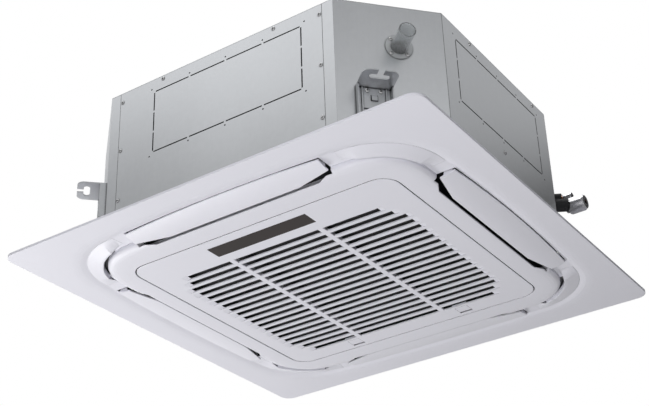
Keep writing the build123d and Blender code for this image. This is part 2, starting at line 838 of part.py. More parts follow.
# ---------------------------------------------------------------- drain
with BuildPart() as drain_socket:
    with BuildSketch(wall_plane("front_right", drain_place, drain_z, -drain_inside)):
        Circle(drain_radius - drain_shoulder)
    extrude(amount=drain_inside + drain_flange_sheet)
    with BuildSketch(wall_plane("front_right", drain_place, drain_z, drain_flange_sheet)):
        Circle(drain_radius)
    extrude(amount=drain_reach - drain_flange_sheet)
    spout_z = drain_z - drain_radius - spout_drop
    spout_spot = wall_plane("front_right", drain_place, spout_z, -riser_inset).origin
    with BuildSketch(Plane.XY.offset(spout_spot.Z)):
        with Locations((spout_spot.X, spout_spot.Y)):
            Circle(riser_radius + drain_wall)
    extrude(amount=drain_radius + spout_drop)
    with BuildSketch(Plane.XY.offset(spout_spot.Z)):
        with Locations((spout_spot.X, spout_spot.Y)):
            Circle(riser_radius + running_fit)
    extrude(amount=drain_radius + spout_drop, mode=Mode.SUBTRACT)
    with BuildSketch(wall_plane("front_right", drain_place, drain_z, drain_wall - drain_inside)):
        Circle(drain_radius - drain_wall)
    extrude(amount=drain_inside + drain_reach - drain_wall, mode=Mode.SUBTRACT)
save(drain_socket, "drain_socket")

with BuildPart() as drain_flange:
    with BuildSketch(wall_plane("front_right", drain_place, drain_z)):
        Circle(drain_flange_radius)
        Circle(drain_radius - drain_shoulder + running_fit, mode=Mode.SUBTRACT)
    extrude(amount=drain_flange_sheet)
    fitting_screw_holes("front_right", drain_flange_screws)
save(drain_flange, "drain_flange")

riser_spot = wall_plane("front_right", drain_place, 0, -riser_inset).origin
with BuildPart() as drain_riser:
    with BuildSketch(Plane.XY.offset(trough_z + pump_height)):
        with Locations((riser_spot.X, riser_spot.Y)):
            Circle(riser_radius)
            Circle(riser_radius - riser_wall, mode=Mode.SUBTRACT)
    extrude(amount=drain_z - drain_radius - trough_z - pump_height)
save(drain_riser, "drain_riser")

motor_spot = wall_plane("front_right", drain_place, 0, -pump_inset - pump_motor_shift).origin
with BuildPart() as drain_pump:
    with BuildSketch(Plane.XY.offset(trough_z)):
        with Locations((pump_spot.X, pump_spot.Y)):
            Circle(pump_radius)
    extrude(amount=pump_height)
    with BuildSketch(Plane.XY.offset(trough_z + pump_height)):
        with Locations((motor_spot.X, motor_spot.Y)):
            Circle(pump_motor_radius)
    extrude(amount=pump_motor_height)
save(drain_pump, "drain_pump")

with BuildPart() as float_switch:
    with BuildSketch(Plane.XY.offset(trough_z)):
        with Locations((float_spot.X, float_spot.Y)):
            Circle(float_radius)
    extrude(amount=float_base)
    with BuildSketch(Plane.XY.offset(trough_z)):
        with Locations((float_spot.X, float_spot.Y)):
            Circle(stem_radius)
    extrude(amount=stem_height)
    with BuildSketch(Plane.XY.offset(trough_z + stem_height)):
        with Locations((float_spot.X, float_spot.Y)):
            Circle(float_radius)
    extrude(amount=float_base)
save(float_switch, "float_switch")

with BuildPart() as float_ring:
    with BuildSketch(Plane.XY.offset(trough_z + float_base + seat_gap)):
        with Locations((float_spot.X, float_spot.Y)):
            Circle(float_radius)
            Circle(stem_radius + running_fit, mode=Mode.SUBTRACT)
    extrude(amount=float_height)
save(float_ring, "float_ring")

# ---------------------------------------------------------------- bell mouth and control box
with BuildPart() as bell_mouth:
    with BuildSketch(Plane.XY.offset(plate_z - bell_sheet)):
        side = 2 * (pan_opening + pan_rebate - seat_gap)
        RectangleRounded(side, side, pan_corner + pan_rebate - seat_gap)
        Circle(bell_radius, mode=Mode.SUBTRACT)
    extrude(amount=bell_sheet)
    with BuildSketch(Plane.XZ):
        with BuildLine():
            ThreePointArc(
                (bell_radius, plate_z - bell_sheet / 2),
                ((bell_radius + bell_throat) / 2 - bell_rise / 4, plate_z + bell_rise / 4),
                (bell_throat, plate_z + bell_rise),
            )
        trace(line_width=bell_sheet)
    revolve(axis=Axis.Z)
save(bell_mouth, "bell_mouth")

box_top = plate_z - bell_sheet
with BuildPart() as control_box:
    with BuildSketch(Plane.XY.offset(box_top - box_depth)):
        with Locations((box_x, box_y)):
            Rectangle(box_length, box_width)
    extrude(amount=box_depth)
    with BuildSketch(Plane.XY.offset(box_top - box_depth)):
        with Locations((box_x, box_y)):
            Rectangle(box_length - 2 * sheet, box_width - 2 * sheet)
    extrude(amount=box_depth - sheet, mode=Mode.SUBTRACT)
save(control_box, "control_box")

with BuildPart() as control_box_cover:
    with BuildSketch(Plane.XY.offset(box_top - box_depth - sheet)):
        with Locations((box_x, box_y)):
            Rectangle(box_length, box_width)
    extrude(amount=sheet)
save(control_box_cover, "control_box_cover")

with BuildPart() as circuit_board:
    with BuildSketch(Plane.XY.offset(box_top - sheet - board_stand - board_thick)):
        with Locations((box_x, box_y)):
            Rectangle(box_length - board_margin, box_width - board_margin / 2)
    extrude(amount=board_thick)
    with BuildSketch(Plane.XY.offset(box_top - sheet - board_stand)):
        with Locations((box_x, box_y)):
            with GridLocations(box_length - 2 * board_margin, box_width - board_margin, 2, 2):
                Circle(screw_shank)
    extrude(amount=board_stand)
    with BuildSketch(Plane.XY.offset(box_top - sheet - board_stand - board_thick)):
        with Locations((box_x - box_length / 4, box_y)):
            Circle(box_width / 6)
        with Locations((box_x + box_length / 5, box_y)):
            Rectangle(box_length / 5, box_width / 3)
    extrude(amount=-board_part_height)
save(circuit_board, "circuit_board")

# ---------------------------------------------------------------- fan
with BuildPart() as fan_motor:
    with BuildSketch(Plane.XY.offset(motor_bottom)):
        Circle(motor_radius)
    extrude(amount=motor_top - motor_bottom)
    chamfer(fan_motor.edges().filter_by(GeomType.CIRCLE), length=motor_chamfer)
    with BuildSketch(Plane.XY.offset(motor_top - motor_foot)):
        with PolarLocations(motor_foot_ring, 3):
            Circle(mount_radius)
        with PolarLocations(motor_foot_ring / 2, 3):
            Rectangle(motor_foot_ring, 2 * mount_radius)
    extrude(amount=motor_foot)
    with BuildSketch(Plane.XY.offset(motor_bottom)):
        Circle(shaft_radius + running_fit)
    extrude(amount=shaft_top - motor_bottom + seat_gap, mode=Mode.SUBTRACT)
save(fan_motor, "fan_motor")

with BuildPart() as motor_mounts:
    with BuildSketch(Plane.XY.offset(motor_top)):
        with PolarLocations(motor_foot_ring, 3):
            Circle(mount_radius)
    extrude(amount=wall_top - cover_press - motor_top)
save(motor_mounts, "motor_mounts")

with BuildPart() as motor_shaft:
    with BuildSketch(Plane.XY.offset(shaft_bottom)):
        Circle(shaft_radius)
    extrude(amount=shaft_top - shaft_bottom)
save(motor_shaft, "motor_shaft")

def blade_section():
    """Plan of one blade, which falls back from root to tip."""
    bend = radians(blade_sweep * blade_bend)
    sweep = radians(blade_sweep)
    with BuildSketch() as section:
        with BuildLine():
            ThreePointArc(
                (blade_root, 0), (blade_middle * cos(bend), -blade_middle * sin(bend)),
                (blade_tip * cos(sweep), -blade_tip * sin(sweep)),
            )
        trace(line_width=blade_wall)
    return section.sketch


def shroud_section(below):
    """Section of the shroud round the inlet, with everything below it if asked."""
    outer_z = impeller_bottom + shroud_rise
    bulge = (
        (impeller_inlet + impeller_radius) / 2 - shroud_rise / 4,
        impeller_bottom + shroud_bulge * shroud_rise,
    )
    with BuildSketch() as section:
        with BuildLine():
            ThreePointArc((impeller_inlet, impeller_bottom), bulge, (impeller_radius, outer_z))
        trace(line_width=impeller_plate)
        if below:
            with BuildLine():
                ThreePointArc((impeller_inlet, impeller_bottom), bulge, (impeller_radius, outer_z))
                Polyline(
                    (impeller_radius, outer_z), (impeller_radius + blade_overhang, outer_z),
                    (impeller_radius + blade_overhang, impeller_bottom - impeller_plate),
                    (impeller_inlet, impeller_bottom - impeller_plate), (impeller_inlet, impeller_bottom),
                )
            make_face()
    return section.sketch


with BuildPart() as impeller_shroud:
    with BuildSketch(Plane.XZ):
        add(shroud_section(False))
    revolve(axis=Axis.Z)
save(impeller_shroud, "impeller_shroud")

with BuildPart() as impeller_blades:
    with BuildSketch(Plane.XY.offset(impeller_bottom)):
        with PolarLocations(0, blade_count):
            add(blade_section())
    extrude(amount=impeller_top - impeller_plate - impeller_bottom)
    with BuildSketch(Plane.XZ):
        add(shroud_section(True))
    revolve(axis=Axis.Z, mode=Mode.SUBTRACT)
    # the leading edges slope up from the inlet
    with BuildSketch(Plane.XZ):
        with BuildLine():
            Polyline(
                (blade_root - blade_overhang, impeller_bottom + shroud_rise),
                (impeller_inlet, impeller_bottom + impeller_plate),
                (impeller_inlet, impeller_bottom - impeller_plate),
                (blade_root - blade_overhang, impeller_bottom - impeller_plate), close=True,
            )
        make_face()
    revolve(axis=Axis.Z, mode=Mode.SUBTRACT)
save(impeller_blades, "impeller_blades")

# the back plate is dished towards the inlet round the motor, and carries the hub
with BuildPart() as impeller:
    with BuildSketch(Plane.XZ):
        with BuildLine():
            Polyline(
                (impeller_radius, impeller_top), (dish_outer, impeller_top), (dish_inner, dish_z),
                (shaft_radius + running_fit, dish_z), (shaft_radius + running_fit, hub_bottom),
                (hub_radius, hub_bottom), (hub_radius, dish_z - impeller_plate),
                (dish_inner + dish_skew, dish_z - impeller_plate),
                (dish_outer + dish_skew, impeller_top - impeller_plate),
                (impeller_radius, impeller_top - impeller_plate), close=True,
            )
        make_face()
    revolve(axis=Axis.Z)
save(impeller, "impeller")

with BuildPart() as impeller_nut:
    with BuildSketch(Plane.XY.offset(hub_bottom - nut_height)):
        RegularPolygon(nut_across / 2, 6, major_radius=False)
        Circle(shaft_radius + running_fit, mode=Mode.SUBTRACT)
    extrude(amount=nut_height)
save(impeller_nut, "impeller_nut")

# ---------------------------------------------------------------- panel frame
def face_opening():
    """Outline of the front air outlet as it shows from the room."""
    half = outlet_length / 2
    shoulder = outlet_outer - outlet_bow
    with BuildSketch() as shape:
        with BuildLine():
            ThreePointArc((-half, -shoulder), (0, -outlet_outer), (half, -shoulder))
            Polyline(
                (half, -shoulder), (half, outlet_end - shoulder), (outlet_straight / 2, -outlet_inner),
                (-outlet_straight / 2, -outlet_inner), (-half, outlet_end - shoulder), (-half, -shoulder),
            )
        make_face()
    return shape.sketch


def duct(wall):
    """Outline of the front outlet's duct above the face, grown by a wall."""
    half = outlet_length / 2 + wall
    with BuildSketch() as shape:
        with BuildLine():
            ThreePointArc(
                (-half, -(outlet_outer - outlet_bow + wall)), (0, -(outlet_outer + wall)),
                (half, -(outlet_outer - outlet_bow + wall)),
            )
            Polyline(
                (half, -(outlet_outer - outlet_bow + wall)), (half, -(outlet_duct_inner - wall)),
                (-half, -(outlet_duct_inner - wall)), (-half, -(outlet_outer - outlet_bow + wall)),
            )
        make_face()
    return shape.sketch


def grille_hole(grow):
    """Outline of the intake opening, grown by a wall."""
    with BuildSketch() as shape:
        size_x = grille_x + 2 * (grille_gap + grow)
        size_y = grille_y + 2 * (grille_gap + grow)
        RectangleRounded(size_x, size_y, grille_corner + grille_gap + grow)
    return shape.sketch


def corner_squares():
    """Squares over the panel's four corners, which bound the pads."""
    reach = ring_half - corner_pad_start
    middle = corner_pad_start + reach / 2
    with BuildSketch() as squares:
        with GridLocations(2 * middle, 2 * middle, 2, 2):
            Rectangle(reach, reach)
    return squares.sketch


with BuildPart() as corner_pads:
    with BuildSketch(Plane.XY.offset(ring_z)):
        add(ring_outline(ring_slope))
    with BuildSketch(Plane.XY.offset(corner_pad_z)):
        add(island_outline(-crescent_width - corner_pad_flat))
    loft(ruled=True)
    with BuildSketch():
        add(corner_squares())
        add(island_outline(-crescent_width), mode=Mode.SUBTRACT)
    extrude(amount=ring_z, mode=Mode.INTERSECT)

motor_start = outlet_length / 2 + moulding + seat_gap
with BuildPart() as panel_frame:
    # flat rim with a lip round its edge
    with BuildSketch(Plane.XY.offset(rim_z)):
        RectangleRounded(panel_side, panel_side, panel_corner)
    extrude(amount=moulding)
    with BuildSketch(Plane.XY.offset(rim_z)):
        RectangleRounded(panel_side, panel_side, panel_corner)
        inner = panel_side - 2 * moulding
        RectangleRounded(inner, inner, panel_corner - moulding, mode=Mode.SUBTRACT)
    extrude(amount=rim_depth)
    # floor of the hollow ring
    with BuildSketch(Plane.XY.offset(rim_z)):
        add(ring_outline(-moulding))
    extrude(amount=ring_recess + moulding)
    # hollow ring, cut from the room's side
    for inset, rise in ring_curve:
        with BuildSketch(Plane.XY.offset(rim_z + rise)):
            add(ring_outline(inset))
    loft(ruled=True, mode=Mode.SUBTRACT)
    add(corner_pads.part)
    # the island
    with BuildSketch(Plane.XY.offset(back_z)):
        add(island_outline(0))
    for inset, level in island_curve:
        with BuildSketch(Plane.XY.offset(level)):
            add(island_outline(inset))
    loft(ruled=True)
    for inset, level in island_hollow:
        with BuildSketch(Plane.XY.offset(level)):
            add(island_outline(inset))
            add(grille_hole(moulding), mode=Mode.SUBTRACT)
            with PolarLocations(0, 4):
                add(duct(moulding), mode=Mode.SUBTRACT)
        extrude(amount=back_z, mode=Mode.SUBTRACT)
    # intake and outlets, cut through
    with BuildSketch():
        add(grille_hole(0))
    extrude(amount=back_z, mode=Mode.SUBTRACT)
    with BuildSketch(Plane.XY.offset(moulding)):
        with PolarLocations(0, 4):
            add(duct(0))
    extrude(amount=back_z, mode=Mode.SUBTRACT)
    with BuildSketch():
        with PolarLocations(0, 4):
            add(face_opening())
    extrude(amount=back_z, mode=Mode.SUBTRACT)
    # a cradle for each louver's motor
    for k in range(4):
        with BuildSketch(side_frame(k, back_z)):
            with Locations((motor_start + louver_motor_length / 2, -pivot_y)):
                Rectangle(cradle_width, 2 * cradle_half)
        extrude(amount=pivot_z - back_z - cradle_drop)
        with BuildSketch(section_frame(k, motor_start)):
            with Locations((pivot_y, pivot_z)):
                Circle(louver_motor_radius + seat_gap)
        extrude(amount=-louver_motor_length, mode=Mode.SUBTRACT)
    # finger slots between the pads and the island
    with BuildSketch(Plane.XY.offset(ring_z)):
        add(corner_squares())
        add(island_outline(-crescent_width), mode=Mode.INTERSECT)
        add(island_outline(0), mode=Mode.SUBTRACT)
    extrude(amount=moulding, mode=Mode.SUBTRACT)
    # bearings for the grille's two hinge pins
    with BuildSketch(Plane.YZ):
        with Locations((hinge_y, hinge_z)):
            Circle(hinge_pin + running_fit)
    extrude(amount=grille_x / 2 + grille_gap + 2 * moulding, both=True, mode=Mode.SUBTRACT)
    # keepers for the latches
    for side in (-1, 1):
        with BuildSketch(Plane.XY.offset(latch_bolt_z - hole_clearance)):
            with Locations((side * latch_place_x, grille_y / 2 + grille_gap)):
                Rectangle(latch_bolt_width + 2 * keeper_gap, 4 * moulding)
        extrude(amount=latch_bolt_thick + 2 * hole_clearance, mode=Mode.SUBTRACT)
save(panel_frame, "panel_frame")

# ---------------------------------------------------------------- collars on the panel's back
with BuildPart() as duct_collars:
    with BuildSketch(Plane.XY.offset(back_z)):
        with PolarLocations(0, 4):
            add(duct(moulding))
        add(grille_hole(moulding))
    extrude(amount=collar_z - back_z)
    with BuildSketch(Plane.XY.offset(back_z)):
        with PolarLocations(0, 4):
            add(duct(0))
        add(grille_hole(0))
    extrude(amount=collar_z - back_z, mode=Mode.SUBTRACT)
    # bearings for the louvers' pins
    for k in range(4):
        with BuildSketch(section_frame(k, 0)):
            with Locations((pivot_y, pivot_z)):
                Circle(pivot_pin + running_fit)
        extrude(amount=outlet_length, both=True, mode=Mode.SUBTRACT)
    # lugs at both sides of the intake for the panel's screws
    with BuildSketch(Plane.XY.offset(collar_z - moulding)):
        for side in (-1, 1):
            edge = side * (grille_x / 2 + grille_gap + moulding / 2)
            with Locations((edge, -panel_screw_y), (edge, panel_screw_y)):
                lug_align = (Align.MAX if side > 0 else Align.MIN, Align.CENTER)
                Rectangle(abs(edge) - panel_screw_x + lug_reach, lug_length, align=lug_align)
        with GridLocations(2 * panel_screw_x, 2 * panel_screw_y, 2, 2):
            Circle(panel_screw_shank + hole_clearance, mode=Mode.SUBTRACT)
    extrude(amount=moulding)
save(duct_collars, "duct_collars")

# ---------------------------------------------------------------- louvers and their motors
louver_half = outlet_length / 2 - louver_gap
louver_out = outlet_outer - louver_gap
louver_shoulder = louver_out - outlet_bow
louver_in = outlet_inner + louver_inner_gap
louver_middle = (louver_in + louver_out) / 2
louver_mid_z = (louver_inner_z + louver_outer_z) / 2 - louver_sag
louver_slope = degrees(atan2(louver_outer_z - louver_inner_z, louver_out - louver_in))
arm_foot_z = louver_mid_z + louver_thick / 2 + arm_foot_lift

for k, name in enumerate(side_names):
    with BuildPart() as louver:
        # curved section, drawn along the side
        with BuildSketch(section_frame(k, 0)):
            with BuildLine():
                lower = ThreePointArc(
                    (louver_in, louver_inner_z), (louver_middle, louver_mid_z), (louver_out, louver_outer_z),
                )
                upper = ThreePointArc(
                    (louver_in, louver_inner_z + louver_thick), (louver_middle, louver_mid_z + louver_thick),
                    (louver_out, louver_outer_z + louver_thick),
                )
                Line(lower @ 0, upper @ 0)
                Line(lower @ 1, upper @ 1)
            make_face()
        extrude(amount=louver_half, both=True)
        with BuildSketch(side_frame(k, 0)):
            with BuildLine():
                ThreePointArc(
                    (-louver_half, -louver_shoulder), (0, -louver_out), (louver_half, -louver_shoulder),
                )
                Polyline(
                    (louver_half, -louver_shoulder), (louver_half, louver_end - louver_shoulder),
                    (louver_straight / 2, -louver_in), (-louver_straight / 2, -louver_in),
                    (-louver_half, louver_end - louver_shoulder), (-louver_half, -louver_shoulder),
                )
            make_face()
        extrude(amount=collar_z, mode=Mode.INTERSECT)
        for side in (-1, 1):
            arm_place = side * (louver_half - louver_arm / 2 - arm_inset)
            with BuildSketch(section_frame(k, arm_place)):
                with Locations((pivot_y, pivot_z)):
                    Circle(pivot_pin + arm_wall)
                with Locations(Location((pivot_y, arm_foot_z), louver_slope)):
                    Rectangle(arm_foot, arm_foot_lift)
                make_hull()
            extrude(amount=louver_arm / 2, both=True)
            pin_reach = outlet_length / 2 + moulding - abs(arm_place)
            pin_reach += pin_in_motor if side > 0 else 0
            with BuildSketch(section_frame(k, arm_place)):
                with Locations((pivot_y, pivot_z)):
                    Circle(pivot_pin)
            extrude(amount=-side * pin_reach)
    save(louver, f"louver_{name}")

with BuildPart() as louver_motors:
    for k in range(4):
        with BuildSketch(section_frame(k, motor_start)):
            with Locations((pivot_y, pivot_z)):
                Circle(louver_motor_radius)
        extrude(amount=-louver_motor_length)
        with BuildSketch(section_frame(k, motor_start)):
            with Locations((pivot_y, pivot_z)):
                Circle(pivot_pin + running_fit)
        extrude(amount=-pin_in_motor - hole_clearance, mode=Mode.SUBTRACT)
save(louver_motors, "louver_motors")

# ---------------------------------------------------------------- intake grille
def row_ends(row):
    """Where one row of slots starts and ends, by the ribs between."""
    short = 0.0
    for i, step in enumerate(slat_steps):
        if row in (i, slat_rows - 1 - i):
            short = step
    left = slat_centre_x - slat_half + short
    right = slat_centre_x + slat_half - short
    stops = [left]
    for rib in rib_places:
        stops += [rib - rib_width / 2, rib + rib_width / 2]
    stops.append(right)
    return list(zip(stops[::2], stops[1::2]))


slat_first_y = slat_centre_y - slat_pitch * (slat_rows - 1) / 2
slot_width = slat_pitch - slat_face


def slat_lip():
    """Section of the lip that curls up behind a slat, from its front edge."""
    middle_y = lip_middle * lip_reach
    middle_z = lip_low * lip_rise
    with BuildSketch() as section:
        with BuildLine():
            outer = ThreePointArc((0, 0), (middle_y, middle_z), (lip_reach, lip_rise))
            inner = ThreePointArc(
                (0, lip_thick), (middle_y - lip_thick, middle_z + lip_thick / 2),
                (lip_reach - lip_thick, lip_rise),
            )
            Line(outer @ 0, inner @ 0)
            Line(outer @ 1, inner @ 1)
        make_face()
    return section.sketch


with BuildPart() as intake_grille:
    # curled lips behind the slats, trimmed to the rows
    with BuildSketch(Plane.YZ.offset(slat_centre_x)):
        with Locations(*[(slat_first_y + slat_pitch * row - slot_width / 2, 0) for row in range(slat_rows)]):
            add(slat_lip())
    extrude(amount=slat_half, both=True)
    with BuildSketch():
        for row in range(slat_rows):
            for start, stop in row_ends(row):
                with Locations(((start + stop) / 2, slat_first_y + slat_pitch * row)):
                    Rectangle(stop - start, slot_width + lip_thick)
    extrude(amount=lip_rise, mode=Mode.INTERSECT)
    # face with its rows of slots
    with BuildSketch():
        RectangleRounded(grille_x, grille_y, grille_corner)
        for row in range(slat_rows):
            for start, stop in row_ends(row):
                with Locations(((start + stop) / 2, slat_first_y + slat_pitch * row)):
                    Rectangle(stop - start, slot_width, mode=Mode.SUBTRACT)
        with Locations((display_x, display_y)):
            Rectangle(display_length, display_width, mode=Mode.SUBTRACT)
        with Locations((-latch_place_x, latch_place_y), (latch_place_x, latch_place_y)):
            Rectangle(latch_size + 2 * hole_clearance, latch_size + 2 * hole_clearance, mode=Mode.SUBTRACT)
    extrude(amount=moulding)
    # the ends of the rows run out into the face
    for row in range(slat_rows):
        ends = row_ends(row)
        for end, side in ((ends[0][0], -1), (ends[-1][1], 1)):
            with BuildSketch(Plane.XZ.offset(-slat_first_y - slat_pitch * row)):
                with BuildLine():
                    Polyline((end, 0), (end + side * slot_ramp, 0), (end, slot_ramp_depth), close=True)
                make_face()
    extrude(amount=slot_width / 2, both=True, mode=Mode.SUBTRACT)
    with BuildSketch(Plane.XY.offset(moulding)):
        RectangleRounded(grille_x, grille_y, grille_corner)
        RectangleRounded(
            grille_x - 2 * moulding, grille_y - 2 * moulding, grille_corner - moulding, mode=Mode.SUBTRACT,
        )
        with Locations((-latch_place_x, grille_y / 2), (latch_place_x, grille_y / 2)):
            Rectangle(latch_bolt_width + 2 * keeper_gap, 4 * moulding, mode=Mode.SUBTRACT)
    extrude(amount=grille_skirt - moulding)
    hinged_edge = intake_grille.edges().group_by(Axis.Z)[0].sort_by(Axis.Y)[0]
    fillet(hinged_edge, radius=grille_edge)
    # ribs behind the face
    for rib in rib_places:
        with BuildSketch(Plane.XY.offset(moulding)):
            with Locations((rib, slat_centre_y)):
                Rectangle(moulding, slat_rows * slat_pitch)
        extrude(amount=grille_skirt - moulding)
    # bosses behind the skirt for the hinge pins
    for side in (-1, 1):
        with BuildSketch(Plane.YZ.offset(side * (grille_x / 2 - moulding - hinge_boss))):
            with Locations((hinge_y, (moulding + hinge_z) / 2)):
                Rectangle(2 * hinge_lug, hinge_z - moulding)
            with Locations((hinge_y, hinge_z)):
                Circle(hinge_lug)
        extrude(amount=side * hinge_boss)
    with BuildSketch(Plane.YZ):
        with Locations((hinge_y, hinge_z)):
            Circle(hinge_pin)
    extrude(amount=grille_x / 2, both=True, mode=Mode.SUBTRACT)
save(intake_grille, "intake_grille")

with BuildPart() as grille_hinge_pins:
    for side in (-1, 1):
        with BuildSketch(Plane.YZ.offset(side * (grille_x / 2 - moulding - hinge_boss))):
            with Locations((hinge_y, hinge_z)):
                Circle(hinge_pin)
        extrude(amount=side * (hinge_boss + 2 * moulding + grille_gap - seat_gap))
save(grille_hinge_pins, "grille_hinge_pins")

with BuildPart() as air_filter:
    with BuildSketch(Plane.XY.offset(grille_skirt)):
        with Locations((0, slat_centre_y)):
            RectangleRounded(filter_x, filter_y, filter_corner)
    extrude(amount=filter_thick)
    with BuildSketch(Plane.XY.offset(grille_skirt)):
        with Locations((0, slat_centre_y)):
            with GridLocations(filter_x / 3, filter_y / 3, 3, 3):
                Rectangle(filter_x / 3 - filter_bar, filter_y / 3 - filter_bar)
    extrude(amount=filter_thick - filter_mesh, mode=Mode.SUBTRACT)
save(air_filter, "air_filter")

with BuildPart() as display_window:
    with BuildSketch():
        with Locations((display_x, display_y)):
            Rectangle(display_length - seat_gap, display_width - seat_gap)
    extrude(amount=moulding)
    with BuildSketch(Plane.XY.offset(moulding)):
        with Locations((display_x, display_y)):
            Rectangle(display_length + display_lap, display_width + display_lap)
    extrude(amount=window_flange)
save(display_window, "display_window")

with BuildPart() as receiver_board:
    with BuildSketch(Plane.XY.offset(moulding + window_flange)):
        with Locations((display_x, display_y)):
            Rectangle(display_length, display_width)
    extrude(amount=board_thick)
    with BuildSketch(Plane.XY.offset(moulding + window_flange + board_thick)):
        with Locations((display_x, display_y)):
            with GridLocations(display_length / 5, 1, 4, 1):
                Rectangle(display_width / 4, display_width / 4)
    extrude(amount=board_thick)
save(receiver_board, "receiver_board")

for name, side in (("left", -1), ("right", 1)):
    with BuildPart() as grille_latch:
        # thumb pad in the face, shorter than its window by the travel
        with BuildSketch():
            with Locations((side * latch_place_x, latch_place_y - latch_travel / 2)):
                Rectangle(latch_size, latch_size - latch_travel)
        extrude(amount=moulding + seat_gap)
        with BuildSketch(Plane.XY.offset(moulding + seat_gap)):
            with Locations((side * latch_place_x, latch_place_y - latch_travel / 2)):
                Rectangle(latch_size + 2 * latch_lap, latch_size + latch_travel + 2 * latch_cover)
        extrude(amount=latch_plate)
        with BuildSketch(Plane.XY.offset(latch_bolt_z)):
            with Locations((side * latch_place_x, latch_place_y)):
                Rectangle(latch_bolt_width, latch_bolt_reach, align=(Align.CENTER, Align.MIN))
        extrude(amount=latch_bolt_thick)
    save(grille_latch, f"grille_latch_{name}")

# ---------------------------------------------------------------- seal and screws
with BuildPart() as panel_seal:
    with BuildSketch(Plane.XY.offset(collar_z)):
        add(grille_hole(seal_width / 2 + moulding / 2))
        add(grille_hole(moulding / 2 - seal_width / 2), mode=Mode.SUBTRACT)
    extrude(amount=pan_bottom - collar_z)
    with BuildSketch(Plane.XY.offset(collar_z)):
        with PolarLocations(0, 4):
            add(duct(moulding))
            add(duct(0), mode=Mode.SUBTRACT)
        add(octagon(2 * sheet + seat_gap), mode=Mode.INTERSECT)
    extrude(amount=pan_bottom - collar_z)
save(panel_seal, "panel_seal")

with BuildPart() as panel_screws:
    with BuildSketch(Plane.XY.offset(collar_z - moulding - panel_screw_head_height)):
        with GridLocations(2 * panel_screw_x, 2 * panel_screw_y, 2, 2):
            RegularPolygon(panel_screw_head, 6)
    extrude(amount=panel_screw_head_height)
    with BuildSketch(Plane.XY.offset(collar_z - moulding)):
        with GridLocations(2 * panel_screw_x, 2 * panel_screw_y, 2, 2):
            Circle(panel_screw_shank)
    extrude(amount=moulding + pan_bottom - collar_z + panel_screw_depth - hole_clearance)
save(panel_screws, "panel_screws")


def put_screws(name, places, out):
    """Pan-head screws at places on a wall, their heads resting this far out."""
    with BuildSketch(wall_plane(name, 0, 0, out)) as heads:
        with Locations(*places):
            Circle(screw_head)
    extrude(heads.sketch, amount=screw_head_height, taper=screw_taper)
    with BuildSketch(wall_plane(name, 0, 0, out)) as shanks:
        with Locations(*places):
            Circle(screw_shank)
    extrude(shanks.sketch, amount=-out - 2 * sheet)


with BuildPart() as body_screws:
    for wall in ("front", "right", "back", "left"):
        put_screws(wall, wall_screws(wall), 0)
save(body_screws, "body_screws")

with BuildPart() as bracket_screws:
    for corner in hanger_place:
        put_screws(corner, wall_screws(corner), hanger_sheet)
save(bracket_screws, "bracket_screws")

with BuildPart() as fitting_screws:
    put_screws("front_right", drain_flange_screws, drain_flange_sheet)
    put_screws("back_right", pipe_plate_screws, pipe_plate_sheet)
save(fitting_screws, "fitting_screws")
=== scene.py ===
"""Looks of a four-way ceiling cassette: finishes, and the fine pieces that CAD keeps plain.

Metres, +Z up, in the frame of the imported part. The slats run along X and the front is -Y.
Laid out as an add-on: an operator makes each piece or group of like pieces, and main runs them.
"""

import math

import bmesh
import bpy
from mathutils import Matrix, Vector
from mathutils.bvhtree import BVHTree


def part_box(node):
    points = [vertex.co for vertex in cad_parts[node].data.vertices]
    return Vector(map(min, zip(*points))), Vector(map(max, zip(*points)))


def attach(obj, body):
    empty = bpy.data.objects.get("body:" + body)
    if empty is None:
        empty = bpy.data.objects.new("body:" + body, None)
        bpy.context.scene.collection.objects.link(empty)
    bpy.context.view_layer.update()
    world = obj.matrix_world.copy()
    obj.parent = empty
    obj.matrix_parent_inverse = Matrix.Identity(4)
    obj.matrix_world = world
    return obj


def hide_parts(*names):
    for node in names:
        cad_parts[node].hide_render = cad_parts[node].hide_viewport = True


bl_info = {
    "name": "Ceiling cassette looks",
    "version": (1, 0, 0),
    "blender": (4, 5, 0),
    "location": "3D View > Sidebar > Cassette",
    "description": "Finishes and fine pieces of a four-way ceiling cassette",
    "category": "Object",
}

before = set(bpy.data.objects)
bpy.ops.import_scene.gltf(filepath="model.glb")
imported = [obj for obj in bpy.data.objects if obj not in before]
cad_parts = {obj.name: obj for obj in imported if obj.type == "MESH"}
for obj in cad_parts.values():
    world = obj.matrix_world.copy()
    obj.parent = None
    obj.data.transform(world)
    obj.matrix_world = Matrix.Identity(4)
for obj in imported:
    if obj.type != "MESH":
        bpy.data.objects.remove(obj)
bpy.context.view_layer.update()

CORNERS = ("front_left", "front_right", "back_right", "back_left")
SIDES = ("front", "right", "back", "left")
QUARTER_TURN = math.pi / 2
SMOOTH_ANGLE = math.radians(32)     # edges sharper than this keep a crease
MERGE = 1e-6                        # points nearer to each other than this are one
ON_LEVEL = 1e-4                     # a point this near to a level lies on it


